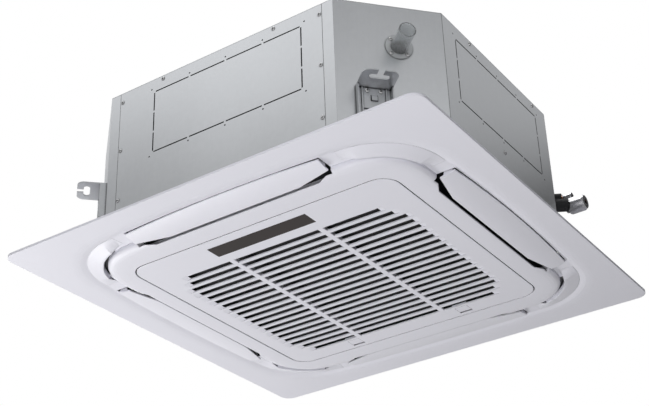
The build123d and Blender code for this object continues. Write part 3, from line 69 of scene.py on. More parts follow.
# ---------------------------------------------------------------- sizes, colours and studio
class CassetteSizes(bpy.types.PropertyGroup):
    """Sizes of the fine pieces."""

    screw_radius: bpy.props.FloatProperty(
        name="Screw head radius", description="Radius of a screw's pan head", default=0.004, unit="LENGTH")
    screw_height: bpy.props.FloatProperty(
        name="Screw head height", description="Height of a screw's pan head", default=0.0022, unit="LENGTH")
    recess_depth: bpy.props.FloatProperty(
        name="Screw recess", description="Depth of the cross in a pan head", default=0.0012, unit="LENGTH")
    shank_radius: bpy.props.FloatProperty(
        name="Shank radius", description="Radius of a screw's shank", default=0.002, unit="LENGTH")
    shank_length: bpy.props.FloatProperty(
        name="Shank length", description="Length of a screw's shank", default=0.003, unit="LENGTH")
    pocket_start: bpy.props.FloatProperty(
        name="Pocket start", description="From the middle to a corner pocket", default=0.280, unit="LENGTH")
    pocket_side: bpy.props.FloatProperty(
        name="Pocket side", description="Length of a corner pocket's sides", default=0.100, unit="LENGTH")
    pocket_foot: bpy.props.FloatProperty(
        name="Pocket foot", description="Level of a pocket's open side", default=0.0155, unit="LENGTH")
    pocket_height: bpy.props.FloatProperty(
        name="Pocket height", description="Height of a corner pocket", default=0.007, unit="LENGTH")
    pocket_edge: bpy.props.FloatProperty(
        name="Pocket edge", description="Rounding of a corner pocket's edges", default=0.0015, unit="LENGTH")
    pocket_wall: bpy.props.FloatProperty(
        name="Pocket wall", description="Wall of a corner pocket", default=0.0012, unit="LENGTH")


class CassetteColours(bpy.types.PropertyGroup):
    """Base colours of the finishes."""

    moulding: bpy.props.FloatVectorProperty(
        name="Panel", description="White moulding of the panel", default=(0.80, 0.795, 0.86),
        subtype="COLOR", min=0, max=1)
    sheet: bpy.props.FloatVectorProperty(
        name="Sheet", description="Galvanised steel of the body", default=(0.60, 0.61, 0.62),
        subtype="COLOR", min=0, max=1)
    bracket: bpy.props.FloatVectorProperty(
        name="Brackets", description="Plated steel of the hangers", default=(0.50, 0.51, 0.52),
        subtype="COLOR", min=0, max=1)
    window: bpy.props.FloatVectorProperty(
        name="Window", description="Smoked display window", default=(0.016, 0.009, 0.008),
        subtype="COLOR", min=0, max=1)
    socket: bpy.props.FloatVectorProperty(
        name="Drain socket", description="Clear moulding of the drain socket", default=(0.70, 0.72, 0.73),
        subtype="COLOR", min=0, max=1)


class CassetteStudio(bpy.types.PropertyGroup):
    """Camera, floor and lamps."""

    azimuth: bpy.props.FloatProperty(
        name="Azimuth", description="Camera's turn round the unit, from the front",
        default=math.radians(33.52), subtype="ANGLE")
    elevation: bpy.props.FloatProperty(
        name="Elevation", description="Camera's height as an angle, less than 0 below the unit",
        default=math.radians(-29.93), subtype="ANGLE")
    roll: bpy.props.FloatProperty(
        name="Roll", description="Camera's tilt about its own view line",
        default=math.radians(-1.98), subtype="ANGLE")
    distance: bpy.props.FloatProperty(
        name="Distance", description="From the camera to its target", default=2.503, unit="LENGTH")
    target: bpy.props.FloatVectorProperty(
        name="Target", description="Point that the camera looks at", default=(0.1485, -0.2692, 0.010),
        subtype="XYZ", unit="LENGTH")
    lens: bpy.props.FloatProperty(
        name="Lens", description="Focal length in millimetres", default=75.24, unit="CAMERA")
    floor_level: bpy.props.FloatProperty(
        name="Floor", description="Level of the studio's floor", default=-5.5, unit="LENGTH")
    left_power: bpy.props.FloatProperty(
        name="Left lamp", description="Power of the lamp below the left side", default=27.5, unit="POWER")
    front_power: bpy.props.FloatProperty(
        name="Front lamp", description="Power of the lamp below the front", default=30.0, unit="POWER")
    top_power: bpy.props.FloatProperty(
        name="Top lamp", description="Power of the lamp above", default=75.0, unit="POWER")
    ambient: bpy.props.FloatProperty(
        name="Ambient", description="Level of the light from all round", default=0.06, min=0, max=1)


# ---------------------------------------------------------------- shader maths
class Signal:
    """One output in a finish's nodes. Arithmetic on it adds Math nodes."""

    def __init__(self, finish, socket):
        self.finish = finish
        self.socket = socket

    def math(self, operation, first, second):
        return self.finish.node("ShaderNodeMath", {"operation": operation}, {0: first, 1: second})

    def __add__(self, other):
        return self.math("ADD", self, other)

    def __radd__(self, other):
        return self.math("ADD", other, self)

    def __sub__(self, other):
        return self.math("SUBTRACT", self, other)

    def __rsub__(self, other):
        return self.math("SUBTRACT", other, self)

    def __mul__(self, other):
        return self.math("MULTIPLY", self, other)

    def __rmul__(self, other):
        return self.math("MULTIPLY", other, self)

    def at_least(self, other):
        """The greater of this value and another."""
        return self.math("MAXIMUM", self, other)

    def under(self, other):
        """1 where this value is less than another, else 0."""
        return self.math("LESS_THAN", self, other)

    def blend(self, other, amount):
        """This value where amount is 0, the other where it is 1."""
        return self + (other - self) * amount

    def swing(self, level, width):
        """A level that wavers by a width as this value goes from 0 to 1."""
        return self * width + (level - width / 2)


class Finish:
    """A procedural material, or the world, and the nodes in it."""

    MIX_FIRST, MIX_SECOND, MIX_RESULT = 6, 7, 2     # the colour sockets of a Mix node
    CREVICE_RAYS = 8
    EDGE_RAYS = 6

    def __init__(self, owner, shader="Principled BSDF"):
        owner.use_nodes = True
        self.owner = owner
        self.tree = owner.node_tree
        self.shader = self.tree.nodes[shader]

    def node(self, kind, settings=None, inputs=None, output=0):
        """Any node: its settings first, then the values or links of its sockets."""
        made = self.tree.nodes.new(kind)
        for name, value in (settings or {}).items():
            setattr(made, name, value)
        for name, value in (inputs or {}).items():
            self.put(made.inputs[name], value)
        return Signal(self, made.outputs[output])

    def put(self, socket, value):
        """A signal or a constant, into a socket."""
        if isinstance(value, Signal):
            self.tree.links.new(value.socket, socket)
        else:
            socket.default_value = value

    def set(self, **values):
        """Constants on the shader's own sockets, named with _ for a space."""
        for name, value in values.items():
            self.shader.inputs[name.replace("_", " ")].default_value = value

    def feed(self, name, signal):
        """A signal into one of the shader's own sockets."""
        self.put(self.shader.inputs[name], signal)

    def show(self, surface):
        """A surface in place of the shader's own."""
        self.put(self.tree.nodes["Material Output"].inputs["Surface"], surface)

    def place(self, stretch=(1, 1, 1)):
        """Object coordinates, stretched."""
        coordinates = self.node("ShaderNodeTexCoord", output="Object")
        return self.node("ShaderNodeMapping", inputs={"Vector": coordinates, "Scale": stretch})

    def noise(self, scale, detail=2.0, stretch=(1, 1, 1)):
        return self.node("ShaderNodeTexNoise", inputs={
            "Vector": self.place(stretch), "Scale": scale, "Detail": detail, "Roughness": 0.5})

    def cells(self, scale, output="Distance", feature="F1"):
        return self.node("ShaderNodeTexVoronoi", {"feature": feature},
                         {"Vector": self.place(), "Scale": scale}, output)

    def waves(self, direction, scale):
        """Soft bands that follow each other along an axis."""
        return self.node("ShaderNodeTexWave", {"bands_direction": direction},
                         {"Vector": self.place(), "Scale": scale})

    def split(self, vector, output):
        return self.node("ShaderNodeSeparateXYZ", inputs={"Vector": vector}, output=output)

    def ramp(self, value, start, stop, low=0.0, high=1.0):
        """A value carried over from one range to another, and held at its ends."""
        return self.node("ShaderNodeMapRange", inputs={
            "Value": value, "From Min": start, "From Max": stop, "To Min": low, "To Max": high})

    def tint(self, amount, first, second):
        """Mix of two colours by an amount from 0 to 1. Either may be a signal."""
        first, second = (part if isinstance(part, Signal) else (*part, 1) for part in (first, second))
        return self.node(
            "ShaderNodeMix", {"data_type": "RGBA"},
            {"Factor": amount, self.MIX_FIRST: first, self.MIX_SECOND: second}, self.MIX_RESULT)

    def crevice(self, reach):
        """1 in the open, less where other surfaces come within reach, as in a seam: ambient occlusion, with
        which the finishes paint shade into their colours.
        """
        return self.node("ShaderNodeAmbientOcclusion", {"samples": self.CREVICE_RAYS},
                         {"Distance": reach}, output="AO")

    def soft_edge(self, radius):
        """The surface's direction, rounded off near its edges."""
        return self.node("ShaderNodeBevel", {"samples": self.EDGE_RAYS}, {"Radius": radius})

    def bends(self, radius, strength):
        """0 on flat ground, more along folds and edges. The finishes paint shade along folds and edges with
        it.
        """
        flat = self.node("ShaderNodeNewGeometry", output="Normal")
        along = self.node("ShaderNodeVectorMath", {"operation": "DOT_PRODUCT"},
                          {0: self.soft_edge(radius), 1: flat}, output="Value")
        return (1 - along) * strength

    def bump(self, height, strength, distance, normal=None):
        """The surface's direction with small hills on it, over another direction if one is given."""
        sockets = {"Strength": strength, "Distance": distance, "Height": height}
        if normal:
            sockets["Normal"] = normal
        return self.node("ShaderNodeBump", inputs=sockets, output="Normal")


# ---------------------------------------------------------------- finishes
finishes = {}
PLAIN_FINISH = "plated_steel"       # of every node that NODE_FINISH doesn't name
SEAM_REACH = 0.004                  # gaps narrower than about this darken with painted shade
SEAM_SHADE = 0.06                   # share of its colour that a finish keeps deep in such gaps, as painted shade
FOLD_SHADE = 0.12                   # and along the folds and edges of sheet metal, also painted shade


def new_finish(name):
    """A new material, kept under its name for the pieces and the CAD nodes."""
    finish = Finish(bpy.data.materials.new(name))
    finishes[name] = finish.owner
    return finish


def shade(colour, factor):
    """A colour made lighter or darker."""
    return tuple(min(1.0, part * factor) for part in colour)


def plastic(name, colour, roughness, grain=1500.0, depth=0.00004, edge=0.0008, reach=SEAM_REACH):
    """Moulded plastic with a fine grain, faint unevenness, softened edges and painted shade in narrow gaps.
    """
    spread = 0.02
    finish = new_finish(name)
    cloud = finish.noise(scale=5.0, detail=3.0)
    clean = finish.tint(cloud, shade(colour, 1 - spread), shade(colour, 1 + spread))
    # painted shade: the colour darkens where ambient occlusion finds other surfaces near
    gap_shade = finish.ramp(finish.crevice(reach), start=0.25, stop=0.62, low=1.0, high=0.0)
    hills = finish.noise(grain)
    finish.feed("Base Color", finish.tint(gap_shade, clean, shade(colour, SEAM_SHADE)))
    finish.feed("Roughness", finish.noise(scale=38.0, detail=3.0).swing(roughness, width=0.10))
    finish.feed("Normal", finish.bump(hills, strength=0.35, distance=depth, normal=finish.soft_edge(edge)))


def spangled(finish, drawn, cell, drawn_share=0.3, spangle_share=0.15, cloud_share=0.55):
    """The drawn grain, zinc crystals and broad clouds of a galvanised sheet, as one signal."""
    spangle = finish.split(finish.cells(1 / cell, "Color"), "X")
    cloud = finish.noise(scale=4.0, detail=4.0, stretch=(1, 1, 0.4))
    cloud = finish.ramp(cloud, start=0.3, stop=0.7, high=cloud_share)
    return drawn * drawn_share + spangle * spangle_share + cloud


def metal(name, colour, roughness, cell=0.0, spread=0.05, brushed=(1, 1, 1), seam=1.6, fold=5.0):
    """Bare metal with a drawn grain, and zinc crystals of a cell's size where it is galvanised.

    Seam and fold are how strongly painted shade darkens its narrow gaps, and its folds and edges.
    """
    finish = new_finish(name)
    drawn = finish.noise(scale=260.0, detail=3.0, stretch=brushed)
    if cell:
        mottle = spangled(finish, drawn, cell)
    else:
        mottle = drawn.blend(finish.noise(scale=70.0, detail=3.0), 0.5)
    clean = finish.tint(mottle, shade(colour, 1 - spread), shade(colour, 1 + spread))
    # painted shade in narrow gaps, from ambient occlusion
    seam_shade = (1 - finish.crevice(SEAM_REACH)) * seam
    seam_shaded = finish.tint(seam_shade, clean, shade(colour, SEAM_SHADE))
    # painted shade along folds and edges
    folds = finish.bends(radius=0.0009, strength=fold)
    edge = finish.soft_edge(0.0004)
    finish.feed("Base Color", finish.tint(folds, seam_shaded, shade(colour, FOLD_SHADE)))
    finish.feed("Roughness", mottle.swing(roughness, width=0.06))
    finish.feed("Normal", finish.bump(drawn, strength=0.22, distance=0.00005, normal=edge))
    finish.set(Metallic=1.0)


def coil_fins():
    """Thin bright fins with painted shade in the gaps between them, in rings round the middle of the unit.
    """
    finish = new_finish("coil_fins")
    fins = finish.node("ShaderNodeTexWave", {"wave_type": "RINGS", "rings_direction": "SPHERICAL"},
                       {"Vector": finish.place((1, 1, 0)), "Scale": 200.0, "Distortion": 0.0})
    # the dark colour is painted shade in the gaps between the fins
    finish.feed("Base Color", finish.tint(fins, (0.32, 0.33, 0.34), (0.78, 0.79, 0.80)))
    finish.feed("Normal", finish.bump(fins, strength=0.6, distance=0.0008))
    finish.set(Metallic=1.0, Roughness=0.4)


def smoked_window(colour):
    finish = new_finish("smoked_window")
    cloud = finish.noise(scale=9.0)
    finish.feed("Base Color", finish.tint(cloud, shade(colour, 0.8), shade(colour, 1.25)))
    finish.feed("Normal", finish.bump(finish.noise(scale=400.0), strength=0.05, distance=0.0001))
    finish.set(Roughness=0.3, Specular_IOR_Level=0.2)


def clear_socket(colour):
    finish = new_finish("clear_socket")
    cloud = finish.noise(scale=60.0)
    finish.feed("Base Color", finish.tint(cloud, shade(colour, 0.9), shade(colour, 1.1)))
    finish.feed("Normal", finish.bump(finish.noise(scale=300.0), strength=0.1, distance=0.0003))
    finish.set(Roughness=0.12, Transmission_Weight=0.88, IOR=1.46)


def frosted_flange(colour):
    """The drain's moulding where it is thicker: hardly clear, with painted shade in its gaps and a painted
    dark outline along its edges.
    """
    finish = new_finish("frosted_flange")
    # painted shade: near black where ambient occlusion finds other surfaces near
    plain = finish.tint(finish.crevice(SEAM_REACH), (0.05, 0.05, 0.05), shade(colour, 0.85))
    # painted shade along the edges, drawn as a dark outline
    rim = finish.bends(radius=0.0007, strength=3.0)
    hills = finish.noise(scale=300.0)
    finish.feed("Base Color", finish.tint(rim, plain, (0.08, 0.08, 0.085)))
    finish.feed("Normal", finish.bump(hills, strength=0.1, distance=0.0003, normal=finish.soft_edge(0.0006)))
    finish.set(Roughness=0.25, Transmission_Weight=0.2, IOR=1.46)


def filter_mesh():
    """A near-black net with strands both ways: partly the net's own dark colour, partly painted shade of the
    unit's dim inside.
    """
    finish = new_finish("filter_mesh")
    net = finish.waves("X", scale=300.0).at_least(finish.waves("Y", scale=300.0))
    # near black: partly painted shade of the inside seen through the grille
    finish.feed("Base Color", finish.tint(net, (0.004, 0.004, 0.005), (0.020, 0.019, 0.021)))
    finish.feed("Normal", finish.bump(net, strength=0.7, distance=0.0005))
    finish.set(Roughness=0.7)


def green_board():
    """Green lacquer with lighter tracks under it."""
    finish = new_finish("green_board")
    tracks = finish.cells(scale=300.0, feature="DISTANCE_TO_EDGE").under(0.06)
    finish.feed("Base Color", finish.tint(tracks, (0.010, 0.075, 0.035), (0.05, 0.20, 0.10)))
    finish.set(Roughness=0.35, Coat_Weight=0.4)


def make_finishes(colours):
    """Every finish of the unit."""
    moulding, sheet, bracket = tuple(colours.moulding), tuple(colours.sheet), tuple(colours.bracket)
    plastic("panel_moulding", moulding, roughness=0.44, edge=0.0022)
    # the grille's painted shade reaches farther into and round its slots
    plastic("grille_moulding", moulding, roughness=0.42, reach=0.012)
    plastic("white_moulding", moulding, roughness=0.42)
    plastic("grey_moulding", (0.12, 0.125, 0.135), roughness=0.5)
    plastic("dark_moulding", (0.030, 0.031, 0.034), roughness=0.45)
    plastic("black_rubber", (0.016, 0.016, 0.018), roughness=0.85, grain=700.0, depth=0.0004)
    plastic("dark_foam", (0.020, 0.020, 0.022), roughness=0.8, grain=420.0, depth=0.0003)
    metal("galvanised_sheet", sheet, roughness=0.30, cell=0.009, spread=0.07, brushed=(1, 1, 0.12))
    metal("screw_steel", (0.55, 0.55, 0.55), roughness=0.22, spread=0.08, fold=2.5)
    metal("bracket_steel", bracket, roughness=0.34, spread=0.12, fold=2.5)
    metal("plated_steel", (0.62, 0.62, 0.60), roughness=0.28, spread=0.08, fold=1.0)
    metal("copper_pipe", (0.72, 0.36, 0.22), roughness=0.3, spread=0.12, fold=1.0)
    metal("nut_plating", (0.27, 0.27, 0.28), roughness=0.36, spread=0.3, fold=1.0)
    coil_fins()
    smoked_window(tuple(colours.window))
    clear_socket(tuple(colours.socket))
    frosted_flange(tuple(colours.socket))
    filter_mesh()
    green_board()


NODE_FINISH = {
    "panel_frame": "panel_moulding", "duct_collars": "dark_moulding", "intake_grille": "grille_moulding",
    "grille_latch_left": "white_moulding", "grille_latch_right": "white_moulding",
    "drain_pan": "dark_foam", "insulation_liner": "dark_foam", "evaporator_coil": "coil_fins",
    "coil_headers": "copper_pipe", "gas_pipe": "copper_pipe", "liquid_pipe": "copper_pipe",
    "flare_nuts": "nut_plating", "impeller": "grey_moulding", "impeller_blades": "grey_moulding",
    "impeller_shroud": "grey_moulding", "bell_mouth": "grey_moulding", "display_window": "smoked_window",
    "drain_socket": "clear_socket", "drain_flange": "frosted_flange", "pipe_insulation": "black_rubber",
    "motor_mounts": "black_rubber", "panel_seal": "black_rubber", "drain_riser": "black_rubber",
    "air_filter": "filter_mesh", "circuit_board": "green_board", "receiver_board": "green_board",
    "drain_pump": "dark_moulding", "float_switch": "dark_moulding", "float_ring": "dark_moulding",
    "louver_motors": "dark_moulding", "top_cover": "galvanised_sheet", "control_box": "galvanised_sheet",
    "control_box_cover": "galvanised_sheet",
    **{f"side_panel_{side}": "galvanised_sheet" for side in SIDES},
    **{f"corner_panel_{corner}": "galvanised_sheet" for corner in CORNERS},
    **{f"hanger_bracket_{corner}": "bracket_steel" for corner in CORNERS},
    **{f"louver_{side}": "white_moulding" for side in SIDES},
}


# ---------------------------------------------------------------- mesh helpers
def as_mesh(name, shape):
    """A bmesh written out as a mesh, and let go."""
    mesh = bpy.data.meshes.new(name)
    shape.to_mesh(mesh)
    shape.free()
    return mesh


def add_object(name, data):
    """A mesh, lamp or camera put into the scene, at the origin."""
    made = bpy.data.objects.new(name, data)
    bpy.context.scene.collection.objects.link(made)
    return made


def add_piece(name, shape, finish, body):
    """Turns a bmesh into a finished piece that rides on a body."""
    for face in shape.faces:
        face.smooth = True
    for edge in shape.edges:
        edge.smooth = edge.is_manifold and edge.calc_face_angle() < SMOOTH_ANGLE
    mesh = as_mesh(name, shape)
    mesh.materials.append(finishes[finish])
    piece = add_object(name, mesh)
    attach(piece, body)
    return piece


def new_vertices(result):
    """The vertices that an extrusion made."""
    return [part for part in result["geom"] if isinstance(part, bmesh.types.BMVert)]


def merged_copy(node):
    """A CAD node's shape as a bmesh, its loose triangles merged."""
    shape = bmesh.new()
    shape.from_mesh(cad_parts[node].data)
    bmesh.ops.remove_doubles(shape, verts=shape.verts, dist=MERGE)
    return shape


def solids(node):
    """The points of each separate solid in a CAD node."""
    shape = merged_copy(node)
    left = set(shape.verts)
    found = []
    while left:
        reached = [left.pop()]
        points = []
        while reached:
            vertex = reached.pop()
            points.append(vertex.co.copy())
            for edge in vertex.link_edges:
                other = edge.other_vert(vertex)
                if other in left:
                    left.remove(other)
                    reached.append(other)
        found.append(points)
    shape.free()
    return found


def extent(points):
    """Lowest and highest corner of the box round some points."""
    low = Vector(min(point[i] for point in points) for i in range(3))
    high = Vector(max(point[i] for point in points) for i in range(3))
    return low, high


def body_walls():
    """Start, direction, outward direction and length of the body's eight walls.

    They follow each other round the body from the front, counterclockwise from above.
    """
    low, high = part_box("top_cover")
    points = [vertex.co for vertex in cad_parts["top_cover"].data.vertices]

    def ends(axis, level):
        along = [point[1 - axis] for point in points if abs(point[axis] - level) < ON_LEVEL]
        return min(along), max(along)

    front, back = ends(1, low.y), ends(1, high.y)
    left, right = ends(0, low.x), ends(0, high.x)
    ring = [
        (front[0], low.y), (front[1], low.y), (high.x, right[0]), (high.x, right[1]),
        (back[1], high.y), (back[0], high.y), (low.x, left[1]), (low.x, left[0]),
    ]
    walls = []
    for start, stop in zip(ring, ring[1:] + ring[:1]):
        start, stop = Vector((*start, 0)), Vector((*stop, 0))
        along = (stop - start).normalized()
        walls.append((start, along, Vector((along.y, -along.x, 0)), (stop - start).length))
    return walls


def nearest_wall(point, walls):
    """The wall that a point lies nearest to. Lying past the wall's ends counts as distance."""
    def off(wall):
        start, along, out, length = wall
        place = Vector((point.x, point.y, 0)) - start
        past = max(0.0, -place.dot(along), place.dot(along) - length)
        return abs(place.dot(out)) + past
    return min(walls, key=off)


def wall_frame(along, out, point):
    """Matrix whose Z points out of a wall, whose Y is up and whose origin is a point."""
    turn = Matrix((along, Vector((0, 0, 1)), out)).transposed().to_4x4()
    return Matrix.Translation(point) @ turn


# ---------------------------------------------------------------- operators
class CASSETTE_OT_finishes(bpy.types.Operator):
    """Give every CAD node its finish"""

    bl_idname = "cassette.finishes"
    bl_label = "Finishes"

    def execute(self, context):
        make_finishes(context.scene.cassette_colours)
        for name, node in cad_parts.items():
            node.data.materials.clear()
            node.data.materials.append(finishes[NODE_FINISH.get(name, PLAIN_FINISH)])
        return {"FINISHED"}


class CASSETTE_OT_screws(bpy.types.Operator):
    """Replace the plain screws by pan heads with a cross recess"""

    bl_idname = "cassette.screws"
    bl_label = "Screws"

    GRID = 7            # cells across the head
    CROSS = 5           # cells across the cross, whose arms are one cell wide
    DOME = 0.45         # share of the head's height that its shoulder lies lower than its middle
    SHOULDER = 0.92     # share of the head's radius at its shoulder
    TAPER = 0.8         # size of the cross at its floor, as a share of that at its mouth
    SHANK_SIDES = 12

    def screw(self, sizes):
        """One screw along +Z, its head resting at z = 0, as a mesh."""
        height = sizes.screw_height
        shoulder = sizes.screw_radius * self.SHOULDER
        shape = bmesh.new()
        bmesh.ops.create_grid(shape, x_segments=self.GRID, y_segments=self.GRID, size=1.0)
        half_cell = 1.0 / self.GRID
        cross = []
        for face in shape.faces:
            x, y = (abs(part) for part in face.calc_center_median()[:2])
            if min(x, y) < half_cell and max(x, y) < self.CROSS * half_cell:
                cross.append(face)
        rim = [edge for edge in shape.edges if edge.is_boundary]
        for vertex in shape.verts:
            # the square grid drawn out to a disc, and domed
            x, y = vertex.co.x, vertex.co.y
            disc = Vector((x * math.sqrt(1 - y * y / 2), y * math.sqrt(1 - x * x / 2)))
            drop = self.DOME * height * disc.length_squared
            vertex.co = Vector((disc.x * shoulder, disc.y * shoulder, height - drop))
        recess_floor = new_vertices(bmesh.ops.extrude_face_region(shape, geom=cross))
        bmesh.ops.delete(shape, geom=cross, context="FACES")
        for vertex in recess_floor:
            x, y = vertex.co.x, vertex.co.y
            vertex.co = Vector((x * self.TAPER, y * self.TAPER, height - sizes.recess_depth))
        for vertex in new_vertices(bmesh.ops.extrude_edge_only(shape, edges=rim)):
            x, y = vertex.co.x, vertex.co.y
            vertex.co = Vector((x / self.SHOULDER, y / self.SHOULDER, 0))
        bmesh.ops.create_cone(
            shape, cap_ends=True, segments=self.SHANK_SIDES, radius1=sizes.shank_radius,
            radius2=sizes.shank_radius, depth=sizes.shank_length,
            matrix=Matrix.Translation((0, 0, -sizes.shank_length / 2)))
        bmesh.ops.recalc_face_normals(shape, faces=shape.faces)
        return as_mesh("screw_template", shape)

    def execute(self, context):
        sizes = context.scene.cassette_sizes
        walls = body_walls()
        template = self.screw(sizes)
        for node in ("body_screws", "bracket_screws", "fitting_screws"):
            shape = bmesh.new()
            for points in solids(node):
                low, high = extent(points)
                middle = (low + high) / 2
                start, along, out, _ = nearest_wall(middle, walls)
                top = max((point - start).dot(out) for point in points)
                foot = middle + out * (top - sizes.screw_height - (middle - start).dot(out))
                before = len(shape.verts)
                shape.from_mesh(template)
                shape.verts.ensure_lookup_table()
                bmesh.ops.transform(shape, matrix=wall_frame(along, out, foot), verts=shape.verts[before:])
            piece = add_piece(f"{node}_cross", shape, "screw_steel", "unit")
            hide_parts(node)
        bpy.data.meshes.remove(template)
        return {"FINISHED"}


class CASSETTE_OT_flare_nuts(bpy.types.Operator):
    """Replace the plain nuts by hexagons with turned corners, a collar and a bore"""

    bl_idname = "cassette.flare_nuts"
    bl_label = "Flare nuts"

    FLATS = 6
    TURNED_STEPS = 60
    SECTION = (         # share of the length, share of the radius
        (0.00, 0.55), (0.00, 0.80), (0.14, 0.86), (0.14, 1.02),
        (0.20, 1.15), (0.86, 1.15), (1.00, 0.92), (1.00, 0.34),
    )

    def turned(self, radius, length, start):
        """The nut's blank as it comes off a lathe, along +X."""
        shape = bmesh.new()
        section = [
            shape.verts.new((start + along * length, 0, away * radius)) for along, away in self.SECTION]
        edges = [shape.edges.new(pair) for pair in zip(section, section[1:])]
        bmesh.ops.spin(
            shape, geom=section + edges, cent=(0, 0, 0), axis=(1, 0, 0), angle=2 * math.pi,
            steps=self.TURNED_STEPS, use_merge=True)
        return shape

    def cut_flats(self, blank, flat):
        """Cuts the flats of the hexagon, at a distance from its axis, and closes the cuts."""
        for side in range(self.FLATS):
            turn = (side + 0.5) * 2 * math.pi / self.FLATS
            out = Vector((0, math.cos(turn), math.sin(turn)))
            cut = bmesh.ops.bisect_plane(
                blank, geom=blank.verts[:] + blank.edges[:] + blank.faces[:],
                plane_co=out * flat, plane_no=out, clear_outer=True)
            rim = [part for part in cut["geom_cut"] if isinstance(part, bmesh.types.BMEdge)]
            bmesh.ops.contextual_create(blank, geom=rim)
        bmesh.ops.remove_doubles(blank, verts=blank.verts, dist=MERGE)
        bmesh.ops.recalc_face_normals(blank, faces=blank.faces)

    def execute(self, context):
        group = bmesh.new()
        for points in solids("flare_nuts"):
            low, high = extent(points)
            middle = (low + high) / 2
            flat = min(high.y - low.y, high.z - low.z) / 2
            blank = self.turned(flat, high.x - low.x, low.x)
            self.cut_flats(blank, flat)
            bmesh.ops.translate(blank, verts=blank.verts, vec=(0, middle.y, middle.z))
            mesh = as_mesh("nut_blank", blank)
            group.from_mesh(mesh)
            bpy.data.meshes.remove(mesh)
        piece = add_piece("flare_nuts_turned", group, "nut_plating", "unit")
        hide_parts("flare_nuts")
        return {"FINISHED"}


class CASSETTE_OT_ring_corners(bpy.types.Operator):
    """Lay soft surfaces over the pads at the ring's corners, which run out into the ring"""

    bl_idname = "cassette.ring_corners"
    bl_label = "Ring corners"

    POLE = 0.240                            # the surface fans out from here, in X and in Y
    SPREAD = math.radians(39)               # half of the fan
    STEPS, ROWS = 78, 10
    OUTER = (0.410, 0.022, 0.138)           # half side, bow and corner of the ring's foot
    INNER = (0.3754, 0.010, 0.1164)         # and of the finger slot's outer edge
    HALVINGS = 24                           # of the search for an outline
    SOFTEN = 5                              # steps over which a pad's end runs out
    FLOOR = 0.0141                          # level of the ring's floor: what lies higher is behind it
    BELOW = -0.1                            # level from which the panel is looked up at
    PROUD = 0.00015                         # how far the surface stands off the panel
    WALL = 0.0004

    def inside(self, point, half, bow, corner):
        """Whether a point lies in a square with bowed sides and round corners."""
        end = half - bow
        bend = (end * end + bow * bow) / (2 * bow)      # radius of a bowed side
        past = bend - half                              # its centre lies this far past the middle
        middle = (math.sqrt(2 * (bend - corner) ** 2 - past ** 2) - past) / 2
        if (point - Vector((0, -past))).length > bend or (point - Vector((-past, 0))).length > bend:
            return False
        place = point - Vector((middle, middle))        # from the round corner's centre
        widest = math.atan2(middle + past, middle)
        turn = math.atan2(place.y, place.x)
        return place.length <= corner or not QUARTER_TURN - widest <= turn <= widest

    def edge(self, outline, turn):
        """Where the outline crosses the line that leaves the pole at an angle."""
        pole = Vector((self.POLE, self.POLE))
        along = Vector((math.cos(turn), math.sin(turn)))
        near, far = 0.0, self.OUTER[0]
        for _ in range(self.HALVINGS):
            middle = (near + far) / 2
            if self.inside(pole + along * middle, *outline):
                near = middle
            else:
                far = middle
        return pole + along * near

    def levels(self, places):
        """Levels of the panel's underside at the places, with the pads' ends drawn out."""
        panel = merged_copy("panel_frame")
        tree = BVHTree.FromBMesh(panel)
        panel.free()
        found = {}
        for key, place in places.items():
            hit = tree.ray_cast(Vector((*place, self.BELOW)), Vector((0, 0, 1)))[0]
            found[key] = min(hit.z, self.FLOOR) if hit else self.FLOOR

        def window(step):
            return range(max(0, step - self.SOFTEN), min(self.STEPS, step + self.SOFTEN) + 1)

        lowest = {(i, j): min(found[k, j] for k in window(i)) for i, j in found}
        return {(i, j): sum(lowest[k, j] for k in window(i)) / len(window(i)) for i, j in found}

    def one_corner(self):
        """The surface over the pad at +X +Y, as a mesh."""
        shape = bmesh.new()
        bmesh.ops.create_grid(shape, x_segments=self.STEPS, y_segments=self.ROWS, size=1.0)
        keys = {
            vertex: (round((vertex.co.x + 1) / 2 * self.STEPS), round((vertex.co.y + 1) / 2 * self.ROWS))
            for vertex in shape.verts
        }
        places = {}
        for step, row in keys.values():
            turn = QUARTER_TURN / 2 + (2 * step / self.STEPS - 1) * self.SPREAD
            slot, foot = self.edge(self.INNER, turn), self.edge(self.OUTER, turn)
            places[step, row] = slot.lerp(foot, row / self.ROWS)
        levels = self.levels(places)
        for vertex, key in keys.items():
            vertex.co = Vector((*places[key], levels[key] - self.PROUD))
        inner = [edge for edge in shape.edges if all(keys[vertex][1] == 0 for vertex in edge.verts)]
        for vertex in new_vertices(bmesh.ops.extrude_edge_only(shape, edges=inner)):
            vertex.co.z = self.FLOOR
        if sum(face.normal.z for face in shape.faces) > 0:
            bmesh.ops.reverse_faces(shape, faces=shape.faces)
        bmesh.ops.solidify(shape, geom=shape.faces[:], thickness=self.WALL)
        return as_mesh("ring_corner", shape)

    def execute(self, context):
        corner = self.one_corner()
        shape = bmesh.new()
        for _ in CORNERS:
            corner.transform(Matrix.Rotation(QUARTER_TURN, 4, "Z"))
            shape.from_mesh(corner)
        bpy.data.meshes.remove(corner)
        add_piece("ring_corners", shape, "panel_moulding", "unit")
        return {"FINISHED"}


